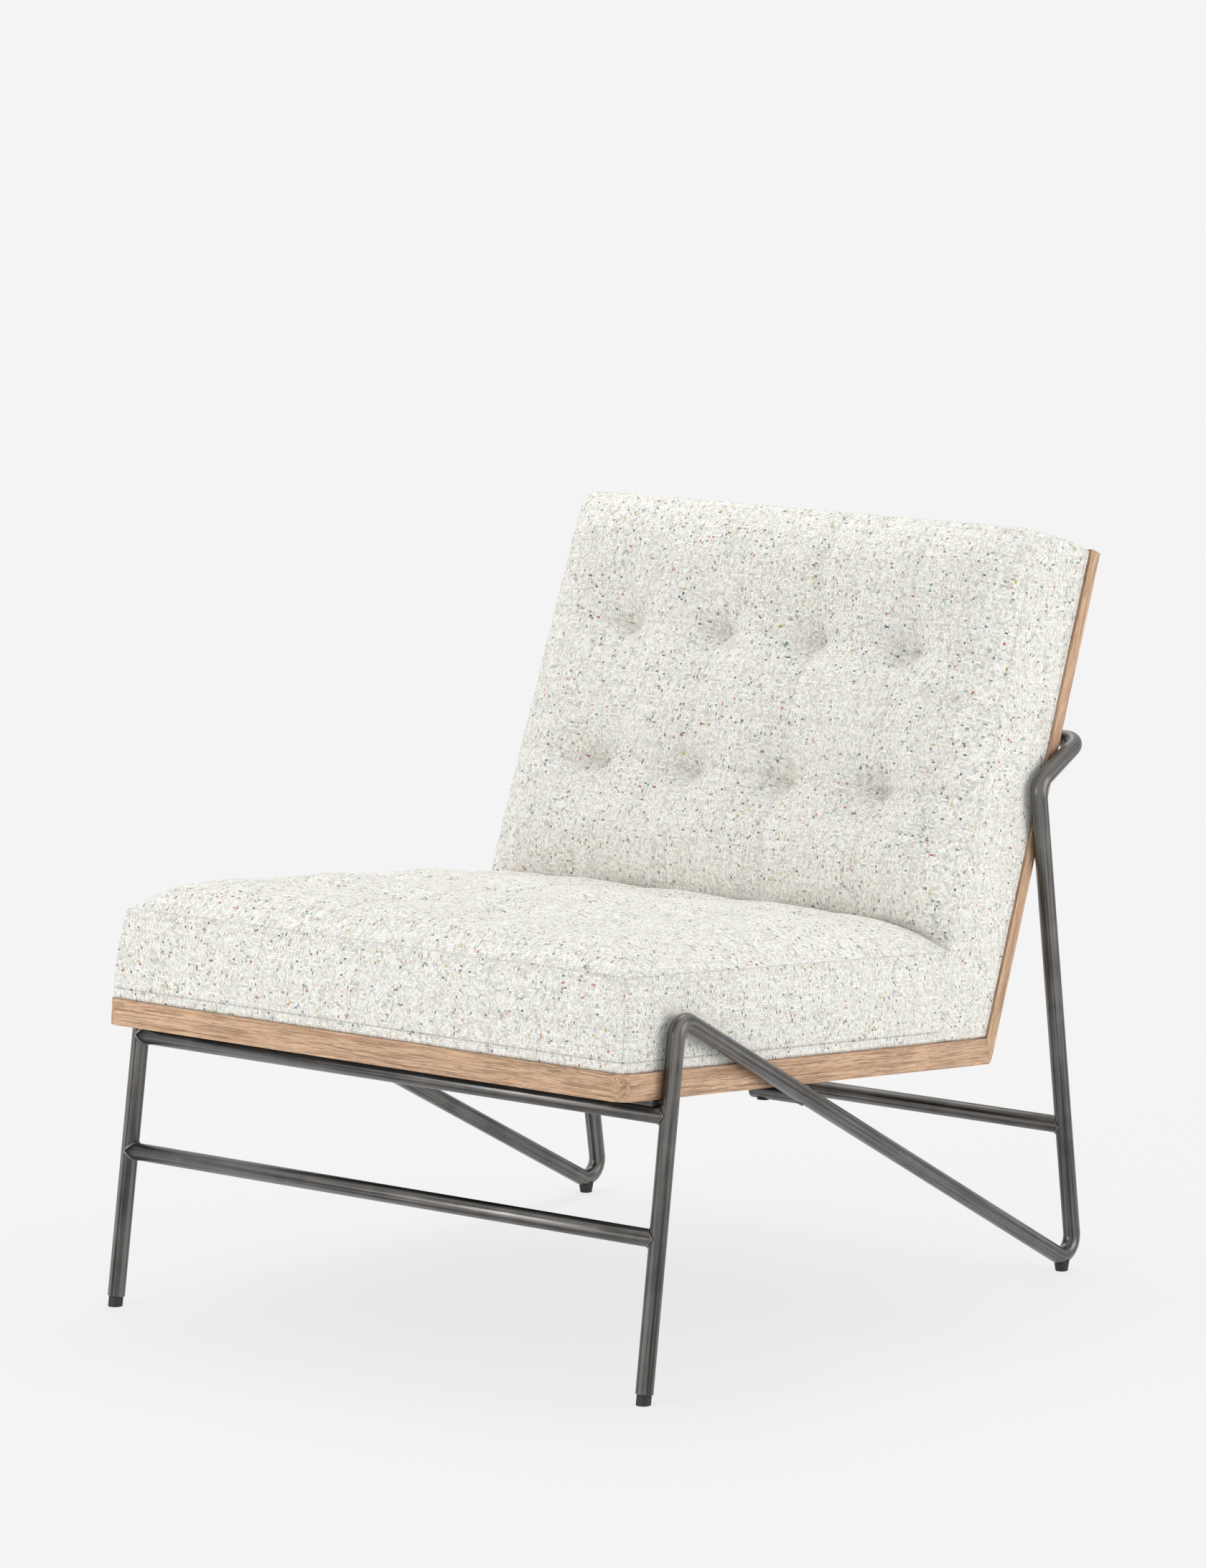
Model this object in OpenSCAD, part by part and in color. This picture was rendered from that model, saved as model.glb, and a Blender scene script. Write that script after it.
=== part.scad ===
/* [Plan] */
// Width of the wooden frame across its front face
frame_w = 677; // [560:1:800]
// Angle by which each side turns inwards towards the rear
side_toe = 1.95; // [0.5:0.05:3]
// Length of the side rails along the tilted seat
rail_len = 647; // [600:1:700]
// Height of the front rail's bottom edge above the floor
front_rail_h = 301; // [280:1:330]
// Backward tilt of the seat
seat_pitch = 5.4; // [3:0.1:8]

/* [Back] */
// Length of the back stiles along the reclined back
back_len = 552; // [480:1:600]
// Recline of the back from vertical
back_recline = 21.3; // [16:0.1:26]

/* [Wooden frame] */
// Height of the seat rails' section
rail_h = 27; // [22:1:34]
// Thickness of the rails and stiles from the outside inwards
rail_t = 30; // [26:1:36]
// Depth of the back stiles' section
stile_d = 16; // [14:1:26]
// Plan radius of the rounded front corners
corner_r = 20; // [12:1:28]
// Radius of the rounded corner where rail and stile meet
heel_r = 9; // [4:1:12]
// Gap left at each wooden joint
joint_gap = 0.1; // [0.05:0.05:0.3]
// Height of the rail across the bottom of the back
rear_rail_h = 40; // [30:1:50]
// Height of the rail that takes the back bar's screws
mid_rail_h = 60; // [40:1:90]
// Thickness of that rail
mid_rail_t = 26; // [20:1:32]
// Side of the glue blocks in the front corners and above the lugs
block_w = 64; // [50:1:80]

/* [Steel tube] */
// Outside diameter of the tube
tube_d = 18; // [14:0.5:20]
// Wall of the tube
tube_wall = 1.5; // [1:0.1:2.5]
// Gap between the tube and the wooden side
side_gap = 0.3; // [0.2:0.1:1]
// Gap left at each coped weld
weld_gap = 0.2; // [0.1:0.05:0.4]
// Distance of the front feet behind the front rail's face
front_foot_set = 24; // [10:1:50]
// Backward lean of the front legs
front_lean = 8.5; // [5:0.5:12]
// Slope of the side braces below horizontal
brace_slope = 27.7; // [26:0.1:30]
// Forward lean of the rear legs
rear_lean = 8.5; // [6:0.5:11]
// Distance of the back bar's centre line up the back
back_bar_b = 355; // [330:1:380]
// Distance of that line behind the stiles' rear face
back_bar_set = 21; // [18:0.5:30]
// Rise of the arm behind the knee above horizontal
arm_rise = 25.6; // [15:0.1:35]
// Length of the arm from the knee to the bar's line
arm_len = 86; // [78:1:100]
// Centre-line radius of the bend at the top of the front leg
top_bend_r = 15; // [13:1:24]
// Centre-line radius of the bend at the floor
floor_bend_r = 19; // [14:1:26]
// Centre-line radius of the knee
knee_r = 20; // [14:1:30]
// Centre-line radius of the turn into the back bar
turn_r = 17; // [13:1:22]
// Height of the front low stretcher's centre
low_bar_h = 160; // [120:1:220]
// Height of the rear stretcher's centre
rear_bar_h = 156; // [120:1:220]

/* [Mounting hardware] */
// Length of the front mounting plates
plate_len = 62; // [40:1:80]
// Distance of a plate's outer end inside the leg's inner face
plate_weld = 2; // [1:0.5:4]
// Distance of the plates' front edges ahead of the front top bar's centre
plate_front = 13; // [8:1:18]
// Distance of the plates' rear edges behind the front top bar's centre
plate_rear = 27; // [24:1:36]
// Thickness of the front mounting plates
plate_t = 5.5; // [4:0.5:8]
// Steel left between a plate's screw head and its rear edge
plate_edge = 1; // [0.5:0.5:3]
// Length of the seat lugs from the wooden side inwards
lug_len = 55; // [44:1:70]
// Distance of the seat lugs' screws from their inner ends
lug_screw_set = 12; // [10:1:16]
// Distance of the back lugs' centres from the wooden faces
back_lug_inset = 118.5; // [80:0.5:140]
// Diameter of the screws' shanks
screw_d = 6; // [5:0.5:7]
// Diameter of the screws' heads
screw_head_d = 12; // [10:0.5:13]
// Height of the screws' heads
screw_head_h = 3.5; // [2.5:0.5:4.5]
// Depth of a screw in the wood
screw_grip = 22; // [15:1:24]
// Radial clearance of a screw in its hole
screw_gap = 0.3; // [0.2:0.05:0.6]

/* [Feet] */
// Diameter of the front feet
front_foot_d = 15; // [12:0.5:18]
// Height of the front legs' ends above the floor
front_foot_h = 10; // [8:0.5:14]
// Groove between a front foot and its tube
foot_groove = 1; // [0.5:0.1:2]
// Length of a front foot's stem in the tube
foot_stem = 20; // [12:1:30]
// Height of the floor bends above the floor
rear_foot_h = 7.5; // [5:0.5:10]
// Diameter of a rear foot at the floor
rear_foot_d = 13; // [10:0.5:14]
// Diameter of a rear foot against the tube
rear_foot_top_d = 17; // [14.5:0.5:19]
// Diameter of a rear foot's pin
foot_pin_d = 4; // [3:0.5:5]
// Height of that pin's lower end above the floor
foot_pin_sink = 1; // [0.5:0.5:3]
// Length of that pin inside the tube's bore
foot_pin_reach = 3; // [2:0.5:5]

/* [Seat cushion] */
// Height of the seat's sewn edge above the rails' bottom
seat_seam_h = 120; // [110:1:135]
// Rise of the seat's crown above its sewn edge
seat_crown = 39; // [20:1:50]
// Rise of the seat's crown where it meets the back
seat_rear_rise = 20; // [10:1:34]
// Distance of the covers behind the wooden faces
cover_inset = 3; // [2:0.5:5]
// Draw of the covers' sides inwards up to the sewn edge
side_draw = 7; // [4:0.5:8]
// Distance of the first tuft row behind the front rail's face
seat_row_1 = 150; // [120:1:170]
// Distance between the tuft rows
row_pitch = 152; // [130:1:165]
// Distance between the tuft columns
column_pitch = 124; // [100:1:130]
// Depth of the seat tufts
seat_tuft_depth = 18; // [8:1:28]
// Spread of the hollow round a tuft
tuft_spread = 24; // [15:1:30]
// Depth of the back's sewn channels
channel_depth = 5; // [2:0.5:8]
// Half width of those channels
channel_spread = 12; // [8:1:18]
// Depth of the seat's sewn channels
seat_channel_depth = 9; // [4:0.5:12]
// Distance over which the seat rises from its sides
seat_edge_w = 125; // [80:1:150]
// How steeply that rise starts
seat_edge_power = 2.5; // [1.5:0.1:4]
// Share of the front's rise that lies close to its edge
seat_front_share = 0.47; // [0.2:0.01:0.8]
// Distance over which that share rises
seat_front_near_w = 38; // [25:1:60]
// Distance over which the rest of the front's rise goes
seat_front_far_w = 156; // [100:1:200]
// Distance over which the seat falls towards the back
seat_rear_w = 150; // [80:1:180]
// How full the seat stays at its front corners
corner_fullness = 6; // [1:0.5:8]

/* [Back cushion] */
// Distance of the back's sewn edge in front of the stiles' rear face
back_seam_d = 107; // [100:1:120]
// Rise of the back's crown in front of its sewn edge
back_crown = 34; // [20:1:44]
// Distance over which the back rises to its crown
back_edge_w = 62; // [40:1:90]
// Distance over which the back rises above the seat
back_foot_w = 78; // [50:1:100]
// Depth of the back tufts
back_tuft_depth = 25; // [10:1:30]
// Distance of the upper tuft row below the top of the back
back_row_top = 148; // [120:1:170]
// Fall of the back cover below the stiles' tops
back_top_drop = 1; // [0.5:0.5:4]
// Thickness of the pad on the outside of the back
outside_back_t = 4; // [3:0.5:6]
// Distance of that pad's face in front of the stiles' rear face
outside_back_set = 2; // [1:0.5:4]

/* [Inner carcass] */
// Thickness of the boards inside the cushions
board_t = 15; // [12:0.5:15]
// Height of the boards inside the seat
seat_board_h = 42; // [35:1:48]
// Depth of the boards inside the back
back_board_d = 34; // [26:1:40]
// Distance of the boards' outer faces from the wooden faces
board_inset = 15; // [14:0.5:17]
// Distance of the foams' sides from the wooden faces
foam_inset = 21; // [20:1:30]
// Width of the straps
strap_w = 50; // [30:1:60]
// Thickness of the straps
strap_t = 2; // [1.5:0.5:3]
// Thickness of the seat's foam
seat_foam_t = 34; // [20:1:36]
// Thickness of the back's foam
back_foam_t = 38; // [24:1:40]
// Gap around soft pieces
soft_gap = 0.3; // [0.2:0.1:0.6]
// Thickness of the dust cover
dust_t = 0.8; // [0.5:0.1:1.5]
// Distance of the dust cover's edge from the wooden faces
dust_inset = 10; // [6:1:18]
// Diameter of the twine in the tufts
twine_d = 2; // [1.5:0.5:3]
// Diameter of the toggles under the straps
toggle_d = 16; // [12:1:24]
// Thickness of those toggles
toggle_t = 3; // [2:0.5:4]

/* [Hidden] */
$fn = 64;

steel = "#3b3a39";
oak = "#cba88a";
birch = "#d9c7a6";
cloth = "#e9e6dd";
webbing = "#6f6a60";
foam = "#f2ead0";
black = "#1c1c1c";

// Directions of the seat and the back in the side view, as [rearward, up]
seat_dir = [cos(seat_pitch), -sin(seat_pitch)];
seat_up = [sin(seat_pitch), cos(seat_pitch)];
back_dir = [sin(back_recline), cos(back_recline)];
back_fwd = [-cos(back_recline), sin(back_recline)];

// Corner points of the wooden side in the side view, from the front rail's face
heel = [0, front_rail_h] + rail_len * seat_dir;
front_y = -(heel[0] + back_len * back_dir[0]) / 2;
// Rise of the seat's normal seen along the back's two directions
lift_b = seat_up * back_dir;
lift_w = seat_up * back_fwd;
run_w = seat_dir * back_fwd;
// Distance up the back at which a height above the rails' bottom is met
function back_at(height, forward) = (height - forward * lift_w) / lift_b;
// Distance along the seat at which a plane in front of the back is met
function seat_at(forward, height) = rail_len + (forward - height * lift_w) / run_w;
// Half width between the wooden sides at a distance behind the front rail's face
function half_w(y) = frame_w / 2 - y * tan(side_toe);
function seat_half_w(u, v) = half_w((u * seat_dir + v * seat_up)[0]);
function back_half_w(b, w) = half_w((heel + b * back_dir + w * back_fwd)[0]);

// Tube frame in the plane of one side: outward, rearward, up
tube_x = tube_d / 2 + side_gap;
leg_dir = [0, sin(front_lean), cos(front_lean)];
brace_dir = [0, cos(brace_slope), -sin(brace_slope)];
rear_dir = [0, -sin(rear_lean), cos(rear_lean)];
arm_dir = [0, cos(arm_rise), sin(arm_rise)];
bar_dir = [-cos(side_toe), sin(side_toe), 0];
function turn(a, b) = acos(a * b);
function unit(v) = v / norm(v);
function inner(a, b) = unit(b - a * (a * b));
function bend_in(corner, a, r, b) = corner - a * r * tan(turn(a, b) / 2);
function bend_out(corner, a, r, b) = corner + b * r * tan(turn(a, b) / 2);
function bend_mid(corner, a, r, b) = bend_in(corner, a, r, b) + inner(a, b) * r;
function on_leg(h) = [tube_x, front_foot_set + (h - front_foot_h) * tan(front_lean), h];
back_bar_w = -back_bar_set;
back_bar_side = heel + back_bar_b * back_dir + back_bar_w * back_fwd;
arm_end = [tube_x, (back_bar_side[0] - tube_x * sin(side_toe)) / cos(side_toe),
    back_bar_side[1]];
knee = arm_end - arm_dir * arm_len;
function on_rear(h) = [tube_x, knee[1] + (knee[2] - h) * tan(rear_lean), h];
floor_drop = bend_mid([0, 0, 0], brace_dir, floor_bend_r, rear_dir)[2];
rear_corner_h = rear_foot_h + tube_d / 2 + floor_bend_r - floor_drop;
rear_corner = on_rear(rear_corner_h);
// The brace rises from the rear corner at its slope until it meets the front leg's line
front_corner_h = (rear_corner_h + (rear_corner[1] - on_leg(0)[1]) * tan(brace_slope))
    / (1 + tan(front_lean) * tan(brace_slope));
front_corner = on_leg(front_corner_h);
// A point of a side's plane as a place in the whole chair, on the right
function placed(p) = [frame_w / 2 + p[0] * cos(side_toe) - p[1] * sin(side_toe),
    front_y + p[0] * sin(side_toe) + p[1] * cos(side_toe), p[2]];

// Distance of a place in the side view below the seat rails
under_seat = dust_t + soft_gap;
top_bar_drop = under_seat + plate_t + weld_gap + tube_d / 2;
top_bar_h = (front_rail_h + (front_foot_set - front_foot_h * tan(front_lean)) * -tan(seat_pitch)
    - top_bar_drop / cos(seat_pitch)) / (1 + tan(front_lean) * tan(seat_pitch));
top_bar = placed(on_leg(top_bar_h));
low_bar = placed(on_leg(low_bar_h));
rear_bar = placed(on_rear(rear_bar_h));
back_bar_end = placed(arm_end);
plate_u = [top_bar[1] - front_y, top_bar_h - front_rail_h] * seat_dir;
plate_screw_u = plate_u + plate_rear - screw_head_d / 2 - plate_edge;
back_lug_x = frame_w / 2 - back_lug_inset;

// Place of a lug: where the brace's centre line passes under the side rail
lug_drop = under_seat + tube_d / 2;
lug_y = (front_corner_h + front_corner[1] * tan(brace_slope) - front_rail_h
    + lug_drop / cos(seat_pitch)) / (tan(brace_slope) - tan(seat_pitch));
lug_u = (lug_y * seat_dir[0]) + sin(seat_pitch) * (lug_y * tan(seat_pitch)
    + lug_drop / cos(seat_pitch));

// Heights inside the cushions, from the rails' bottom and the stiles' rear face
cover_low = rail_h + soft_gap;
long_strap_v = rail_h + joint_gap + seat_board_h + joint_gap;
cross_strap_v = long_strap_v + strap_t + joint_gap;
seat_foam_v = cross_strap_v + strap_t + soft_gap;
seat_ledge_v = seat_foam_v - soft_gap / 2;
seat_pocket_v = seat_foam_v + seat_foam_t + soft_gap;
back_low_w = stile_d + soft_gap;
long_strap_w = stile_d + joint_gap + back_board_d + joint_gap;
cross_strap_w = long_strap_w + strap_t + joint_gap;
back_foam_w = cross_strap_w + strap_t + soft_gap;
back_ledge_w = back_foam_w - soft_gap / 2;
back_pocket_w = back_foam_w + back_foam_t + soft_gap;
board_rear = seat_at(back_seam_d + soft_gap, rail_h) - board_inset;
foam_step = foam_inset - board_inset;
back_board_low = back_at(rail_h, stile_d) + board_inset;
back_board_high = back_len - board_inset;

// Tufts
columns = [-1.5, -0.5, 0.5, 1.5] * column_pitch;
seat_rows = [0, 1, 2] * row_pitch + [1, 1, 1] * seat_row_1;
back_rows = [1, 0] * -row_pitch + [1, 1] * (back_len - back_row_top);

module side(hand) {
    mirror([hand == "left" ? 1 : 0, 0, 0])
        translate([frame_w / 2, front_y, 0]) rotate([0, 0, side_toe]) children();
}

module seat_frame() {
    translate([0, front_y, front_rail_h]) rotate([-seat_pitch, 0, 0]) children();
}

module back_frame() {
    translate([0, front_y + heel[0], heel[1]]) rotate([90 - back_recline, 0, 0]) children();
}

module rod(from, to, d) {
    run = to - from;
    translate(from) rotate([0, acos(run[2] / norm(run)), atan2(run[1], run[0])])
        cylinder(h = norm(run), d = d);
}

module ring(d, bore) {
    difference() {
        circle(d = d);
        if (bore > 0) circle(d = bore);
    }
}

// Length of tube along the local z axis, with what follows it as children
module straight(length) {
    linear_extrude(length) ring(tube_d, tube_d - 2 * tube_wall);
    translate([0, 0, length]) children();
}

// Bend from the local z axis towards -x turned by a roll angle, with what follows it
module bend(r, angle, roll, d = tube_d, bore = tube_d - 2 * tube_wall) {
    rotate([0, 0, roll]) translate([-r, 0, 0]) {
        rotate([90, 0, 0]) rotate_extrude(angle = angle) translate([r, 0]) ring(d, bore);
        rotate([0, -angle, 0]) translate([r, 0, 0]) rotate([0, 0, -roll]) children();
    }
}

// Frames with the local z axis along the leg, the brace, the rear leg and the arm
module along_leg(place) {
    translate(place) rotate([-front_lean, 0, 0]) children();
}

module along_brace(place) {
    translate(place) rotate([-90 - brace_slope, 0, 0]) children();
}

module along_rear(place) {
    translate(place) rotate([rear_lean, 0, 0]) children();
}

module along_arm(place) {
    translate(place) rotate([arm_rise - 90, 0, 0]) children();
}

leg_top = bend_in(front_corner, leg_dir, top_bend_r, brace_dir);
brace_top = bend_out(front_corner, leg_dir, top_bend_r, brace_dir);
brace_low = bend_in(rear_corner, brace_dir, floor_bend_r, rear_dir);
rear_low = bend_out(rear_corner, brace_dir, floor_bend_r, rear_dir);
rear_top = bend_in(knee, rear_dir, knee_r, arm_dir);
arm_low = bend_out(knee, rear_dir, knee_r, arm_dir);
arm_high = bend_in(arm_end, arm_dir, turn_r, bar_dir);
turn_in = inner(arm_dir, bar_dir);
turn_roll = atan2(-turn_in * [0, -sin(arm_rise), cos(arm_rise)], -turn_in[0]);

module front_leg() {
    along_leg(on_leg(front_foot_h)) straight(norm(leg_top - on_leg(front_foot_h)));
}

module top_bend() {
    along_leg(leg_top) bend(top_bend_r, turn(leg_dir, brace_dir), -90);
}

module side_brace() {
    along_brace(brace_top) straight(norm(brace_low - brace_top));
}

module floor_bend() {
    difference() {
        along_brace(brace_low) bend(floor_bend_r, turn(brace_dir, rear_dir), 90);
        rear_foot_axis() translate([0, 0, rear_foot_h / 2])
            cylinder(h = rear_foot_h / 2 + tube_d / 2, d = foot_pin_d + 2 * weld_gap);
    }
}

module rear_leg() {
    along_rear(rear_low) straight(norm(rear_top - rear_low))
        bend(knee_r, turn(rear_dir, arm_dir), -90);
}

module back_arm() {
    along_arm(arm_low) rotate([0, 0, turn_roll]) straight(norm(arm_high - arm_low))
        bend(turn_r, turn(arm_dir, bar_dir), 0);
}

// Straight outsides of the legs and braces, for coping what is welded to them
module leg_cutter() {
    rod(on_leg(front_foot_h), on_leg(front_corner_h), tube_d + 2 * weld_gap);
}

module brace_cutter() {
    rod(front_corner, rear_corner, tube_d + 2 * weld_gap);
}

module rear_cutter() {
    rod(rear_corner, knee, tube_d + 2 * weld_gap);
}

module cross_bar(place) {
    half = place[0];
    translate([-half, place[1], place[2]]) rotate([0, 90, 0]) linear_extrude(2 * half)
        ring(tube_d, tube_d - 2 * tube_wall);
}

module front_top_bar() {
    difference() {
        cross_bar(top_bar);
        side("right") leg_cutter();
        side("left") leg_cutter();
    }
}

module front_low_bar() {
    difference() {
        cross_bar(low_bar);
        side("right") leg_cutter();
        side("left") leg_cutter();
    }
}

module rear_low_bar() {
    difference() {
        cross_bar(rear_bar);
        side("right") rear_cutter();
        side("left") rear_cutter();
    }
}

module back_bar() {
    end = placed(bend_out(arm_end, arm_dir, turn_r, bar_dir));
    difference() {
        cross_bar([end[0], back_bar_end[1], back_bar_end[2]]);
        back_screw_places() translate([0, 0, back_bar_w - tube_d])
            cylinder(h = 2 * tube_d, d = screw_d + 2 * screw_gap);
        back_screw_places() translate([0, 0, back_bar_w - tube_d])
            cylinder(h = tube_d / 2 + spot_d, d = screw_head_d + 2 * screw_gap);
    }
}

// Depth of the flat spot under a screw's head on a round bar
spot_d = 2.6;

// Axis square to the seat through one lug's screw
lug_screw_x = half_w(lug_y) - lug_len + lug_screw_set;
module lug_screw_axis(hand) {
    seat_frame() translate([hand == "left" ? -lug_screw_x : lug_screw_x, lug_u, 0]) children();
}

module plate_screw_axis(hand) {
    x = top_bar[0] - tube_d / 2 - plate_len + plate_front;
    seat_frame() translate([hand == "left" ? -x : x, plate_screw_u, 0]) children();
}

module back_screw_places() {
    for (x = [-1, 1] * back_lug_x) back_frame() translate([x, back_bar_b, 0]) children();
}

module screw_hole(low, high) {
    translate([0, 0, low]) cylinder(h = high - low, d = screw_d + 2 * screw_gap);
}

module seat_lug(hand) {
    out = half_w(lug_y) + tube_x;
    difference() {
        seat_frame() mirror([hand == "left" ? 1 : 0, 0, 0])
            translate([half_w(lug_y) - lug_len, lug_u, -lug_drop]) rotate([0, 90, 0])
                cylinder(h = out - half_w(lug_y) + lug_len, d = tube_d);
        side(hand) brace_cutter();
        lug_screw_axis(hand) screw_hole(-lug_drop - tube_d, 1);
        lug_screw_axis(hand) translate([0, 0, -lug_drop - tube_d])
            cylinder(h = tube_d / 2 + spot_d, d = screw_head_d + 2 * screw_gap);
    }
}

module front_plate(hand) {
    x = top_bar[0] - tube_d / 2 - plate_len;
    difference() {
        seat_frame() mirror([hand == "left" ? 1 : 0, 0, 0])
            translate([x, plate_u - plate_front, -under_seat - plate_t])
                cube([plate_len - plate_weld, plate_front + plate_rear, plate_t]);
        plate_screw_axis(hand) screw_hole(-under_seat - plate_t - 1, 1);
    }
}

module back_lug(hand) {
    x = (hand == "left" ? -1 : 1) * back_lug_x;
    difference() {
        back_frame() translate([x, back_bar_b, back_bar_w])
            cylinder(h = outside_back_set - soft_gap - back_bar_w, d = tube_d);
        translate([-frame_w / 2, back_bar_end[1], back_bar_end[2]]) rotate([0, 90, 0])
            cylinder(h = frame_w, d = tube_d + 2 * weld_gap);
        back_screw_places() screw_hole(back_bar_w - tube_d, outside_back_set);
    }
}

module front_foot() {
    foot_low = on_leg(-front_foot_d);
    foot_high = on_leg(front_foot_h - foot_groove);
    stem_high = on_leg(front_foot_h) + leg_dir * foot_stem;
    difference() {
        union() {
            rod(foot_low, foot_high, front_foot_d);
            rod(foot_low, stem_high, tube_d - 2 * tube_wall - 2 * weld_gap);
        }
        translate([tube_x - tube_d, 0, -4 * tube_d])
            cube([2 * tube_d, front_foot_set + tube_d, 4 * tube_d]);
    }
}

module rear_foot_axis() {
    mid = bend_mid(rear_corner, brace_dir, floor_bend_r, rear_dir);
    translate([tube_x, mid[1], 0]) children();
}

module rear_foot() {
    difference() {
        rear_foot_axis() cylinder(h = rear_foot_h + tube_d / 4, d1 = rear_foot_d,
            d2 = rear_foot_top_d);
        along_brace(brace_low) bend(floor_bend_r, turn(brace_dir, rear_dir), 90,
            tube_d + 2 * weld_gap, 0);
        rod(front_corner, brace_low, tube_d + 2 * weld_gap);
    }
    rear_foot_axis() translate([0, 0, foot_pin_sink])
        cylinder(h = rear_foot_h - foot_pin_sink + tube_wall + foot_pin_reach, d = foot_pin_d);
}

// Side view of the wooden side: rail, heel and stile in one band
mitre_in = heel + back_at(rail_h, stile_d) * back_dir + stile_d * back_fwd;
heel_turn = turn(concat(seat_dir, 0), concat(back_dir, 0));
heel_tangent = heel_r * tan(heel_turn / 2);
heel_mid = heel - heel_tangent * seat_dir + heel_r * seat_up;

module side_band() {
    rail_low = [0, front_rail_h];
    rail_high = rail_low + rail_h * seat_up;
    tip_low = heel + back_len * back_dir;
    tip_high = tip_low + stile_d * back_fwd;
    union() {
        polygon([rail_low, heel - heel_tangent * seat_dir, heel + heel_tangent * back_dir,
            tip_low, tip_high, mitre_in, rail_high]);
        translate(heel_mid) circle(heel_r);
    }
}

module side_wood(hand) {
    difference() {
        intersection() {
            mirror([hand == "left" ? 1 : 0, 0, 0]) translate([0, front_y, 0])
                rotate([90, 0, 90]) linear_extrude(frame_w / 2) side_band();
            side_fill(0);
        }
        side_fill(rail_t);
    }
}

// Everything behind the slanted joint of rail and stile, seen from the side
module heel_cutter() {
    along = unit(mitre_in - heel);
    translate([0, front_y + heel[0], heel[1]]) rotate([atan2(along[1], along[0]) - 90, 0, 0])
        translate([-frame_w, 0, -frame_w]) cube([2 * frame_w, 2 * frame_w, 2 * frame_w]);
}

// What rounding takes off the front corners; the arcs stop just short of tangent
corner_ease = 0.3;
corner_mid = [frame_w / 2 - corner_r + corner_ease, corner_r - corner_ease];
module corner_waste() {
    seat_frame() for (side_x = [0, 1]) mirror([side_x, 0, 0]) translate([0, 0, -rail_h])
        linear_extrude(3 * rail_h) translate(corner_mid) difference() {
            polygon([[0, 0], [0, -2 * corner_r], [2 * corner_r, -2 * corner_r],
                [2 * corner_r, 0]]);
            circle(corner_r);
        }
}

// Triangle in plan ahead of the mitres at the front corners
module front_mitre(grow) {
    reach = frame_w / 2 + grow;
    seat_frame() translate([0, 0, -rail_h]) linear_extrude(3 * rail_h)
        polygon([[-reach - rail_h, -rail_h], [reach + rail_h, -rail_h], [0, reach]]);
}

module front_rail() {
    difference() {
        intersection() {
            seat_frame() translate([-frame_w / 2, 0, 0]) cube([frame_w, rail_t, rail_h]);
            front_mitre(-joint_gap);
        }
        corner_waste();
    }
}

module side_rail(hand) {
    difference() {
        side_wood(hand);
        corner_waste();
        front_mitre(0);
        translate([0, -joint_gap, 0]) heel_cutter();
    }
}

module back_stile(hand) {
    difference() {
        intersection() {
            side_wood(hand);
            heel_cutter();
        }
        top_mitre(joint_gap);
    }
}

// Wedge in the plane of the back ahead of the mitres at the top corners
module top_mitre(grow) {
    half = back_half_w(back_len, 0);
    back_frame() translate([0, 0, -stile_d]) linear_extrude(3 * stile_d)
        polygon([[-half - rail_t, back_len + rail_t - grow], [0, back_len - half - grow],
            [half + rail_t, back_len + rail_t - grow]]);
}

module back_top_rail() {
    half = back_half_w(back_len, 0);
    intersection() {
        back_frame() translate([-half, back_len - rail_t, 0]) cube([2 * half, rail_t, stile_d]);
        top_mitre(0);
        side_fill(0);
    }
}

// Space between the wooden sides, in from their outer faces by a distance
module side_fill(inset) {
    high = 2 * (front_rail_h + back_len);
    rear = 2 * -front_y;
    translate([0, 0, -1]) linear_extrude(high) polygon([[-half_w(0) + inset, front_y],
        [half_w(0) - inset, front_y], [half_w(rear) - inset, front_y + rear],
        [-half_w(rear) + inset, front_y + rear]]);
}

// Beam across the back, between the wooden sides, in the back's own frame
module back_beam(b, w, height, depth, inset) {
    intersection() {
        back_frame() translate([-frame_w / 2, b, w]) cube([frame_w, height, depth]);
        side_fill(inset);
    }
}

module rear_rail() {
    difference() {
        back_beam(-heel_r, 0, rear_rail_h + heel_r, stile_d, rail_t + joint_gap);
        seat_frame() translate([-frame_w, 0, -4 * rail_h])
            cube([2 * frame_w, 2 * rail_len, 4 * rail_h]);
    }
}

module back_mid_rail() {
    difference() {
        back_beam(back_bar_b - mid_rail_h / 2, outside_back_set + outside_back_t + soft_gap,
            mid_rail_h, mid_rail_t, rail_t + joint_gap);
        back_screw_places() screw_hole(0, outside_back_set + outside_back_t + screw_grip + 1);
    }
}

module corner_block(hand) {
    low = [top_bar[0] - plate_len - block_w / 2, rail_t + joint_gap];
    difference() {
        intersection() {
            seat_frame() mirror([hand == "left" ? 1 : 0, 0, 0]) translate(low)
                cube([frame_w, block_w, rail_h]);
            side_fill(rail_t + joint_gap);
        }
        plate_screw_axis(hand) screw_hole(-1, screw_grip + 1);
    }
}

module lug_block(hand) {
    low = [lug_screw_x - block_w / 3, lug_u - block_w / 2];
    difference() {
        intersection() {
            seat_frame() mirror([hand == "left" ? 1 : 0, 0, 0]) translate(low)
                cube([frame_w, block_w, rail_h]);
            side_fill(rail_t + joint_gap);
        }
        lug_screw_axis(hand) screw_hole(-1, screw_grip + 1);
    }
}

// Beam across the seat, between the wooden sides, in the seat's own frame
module seat_beam(u, v, depth, height, inset) {
    intersection() {
        seat_frame() translate([-frame_w / 2, u, v]) cube([frame_w, depth, height]);
        side_fill(inset);
    }
}

module seat_board_front() {
    seat_beam(board_inset, rail_h + joint_gap, board_t, seat_board_h, board_inset);
}

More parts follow.
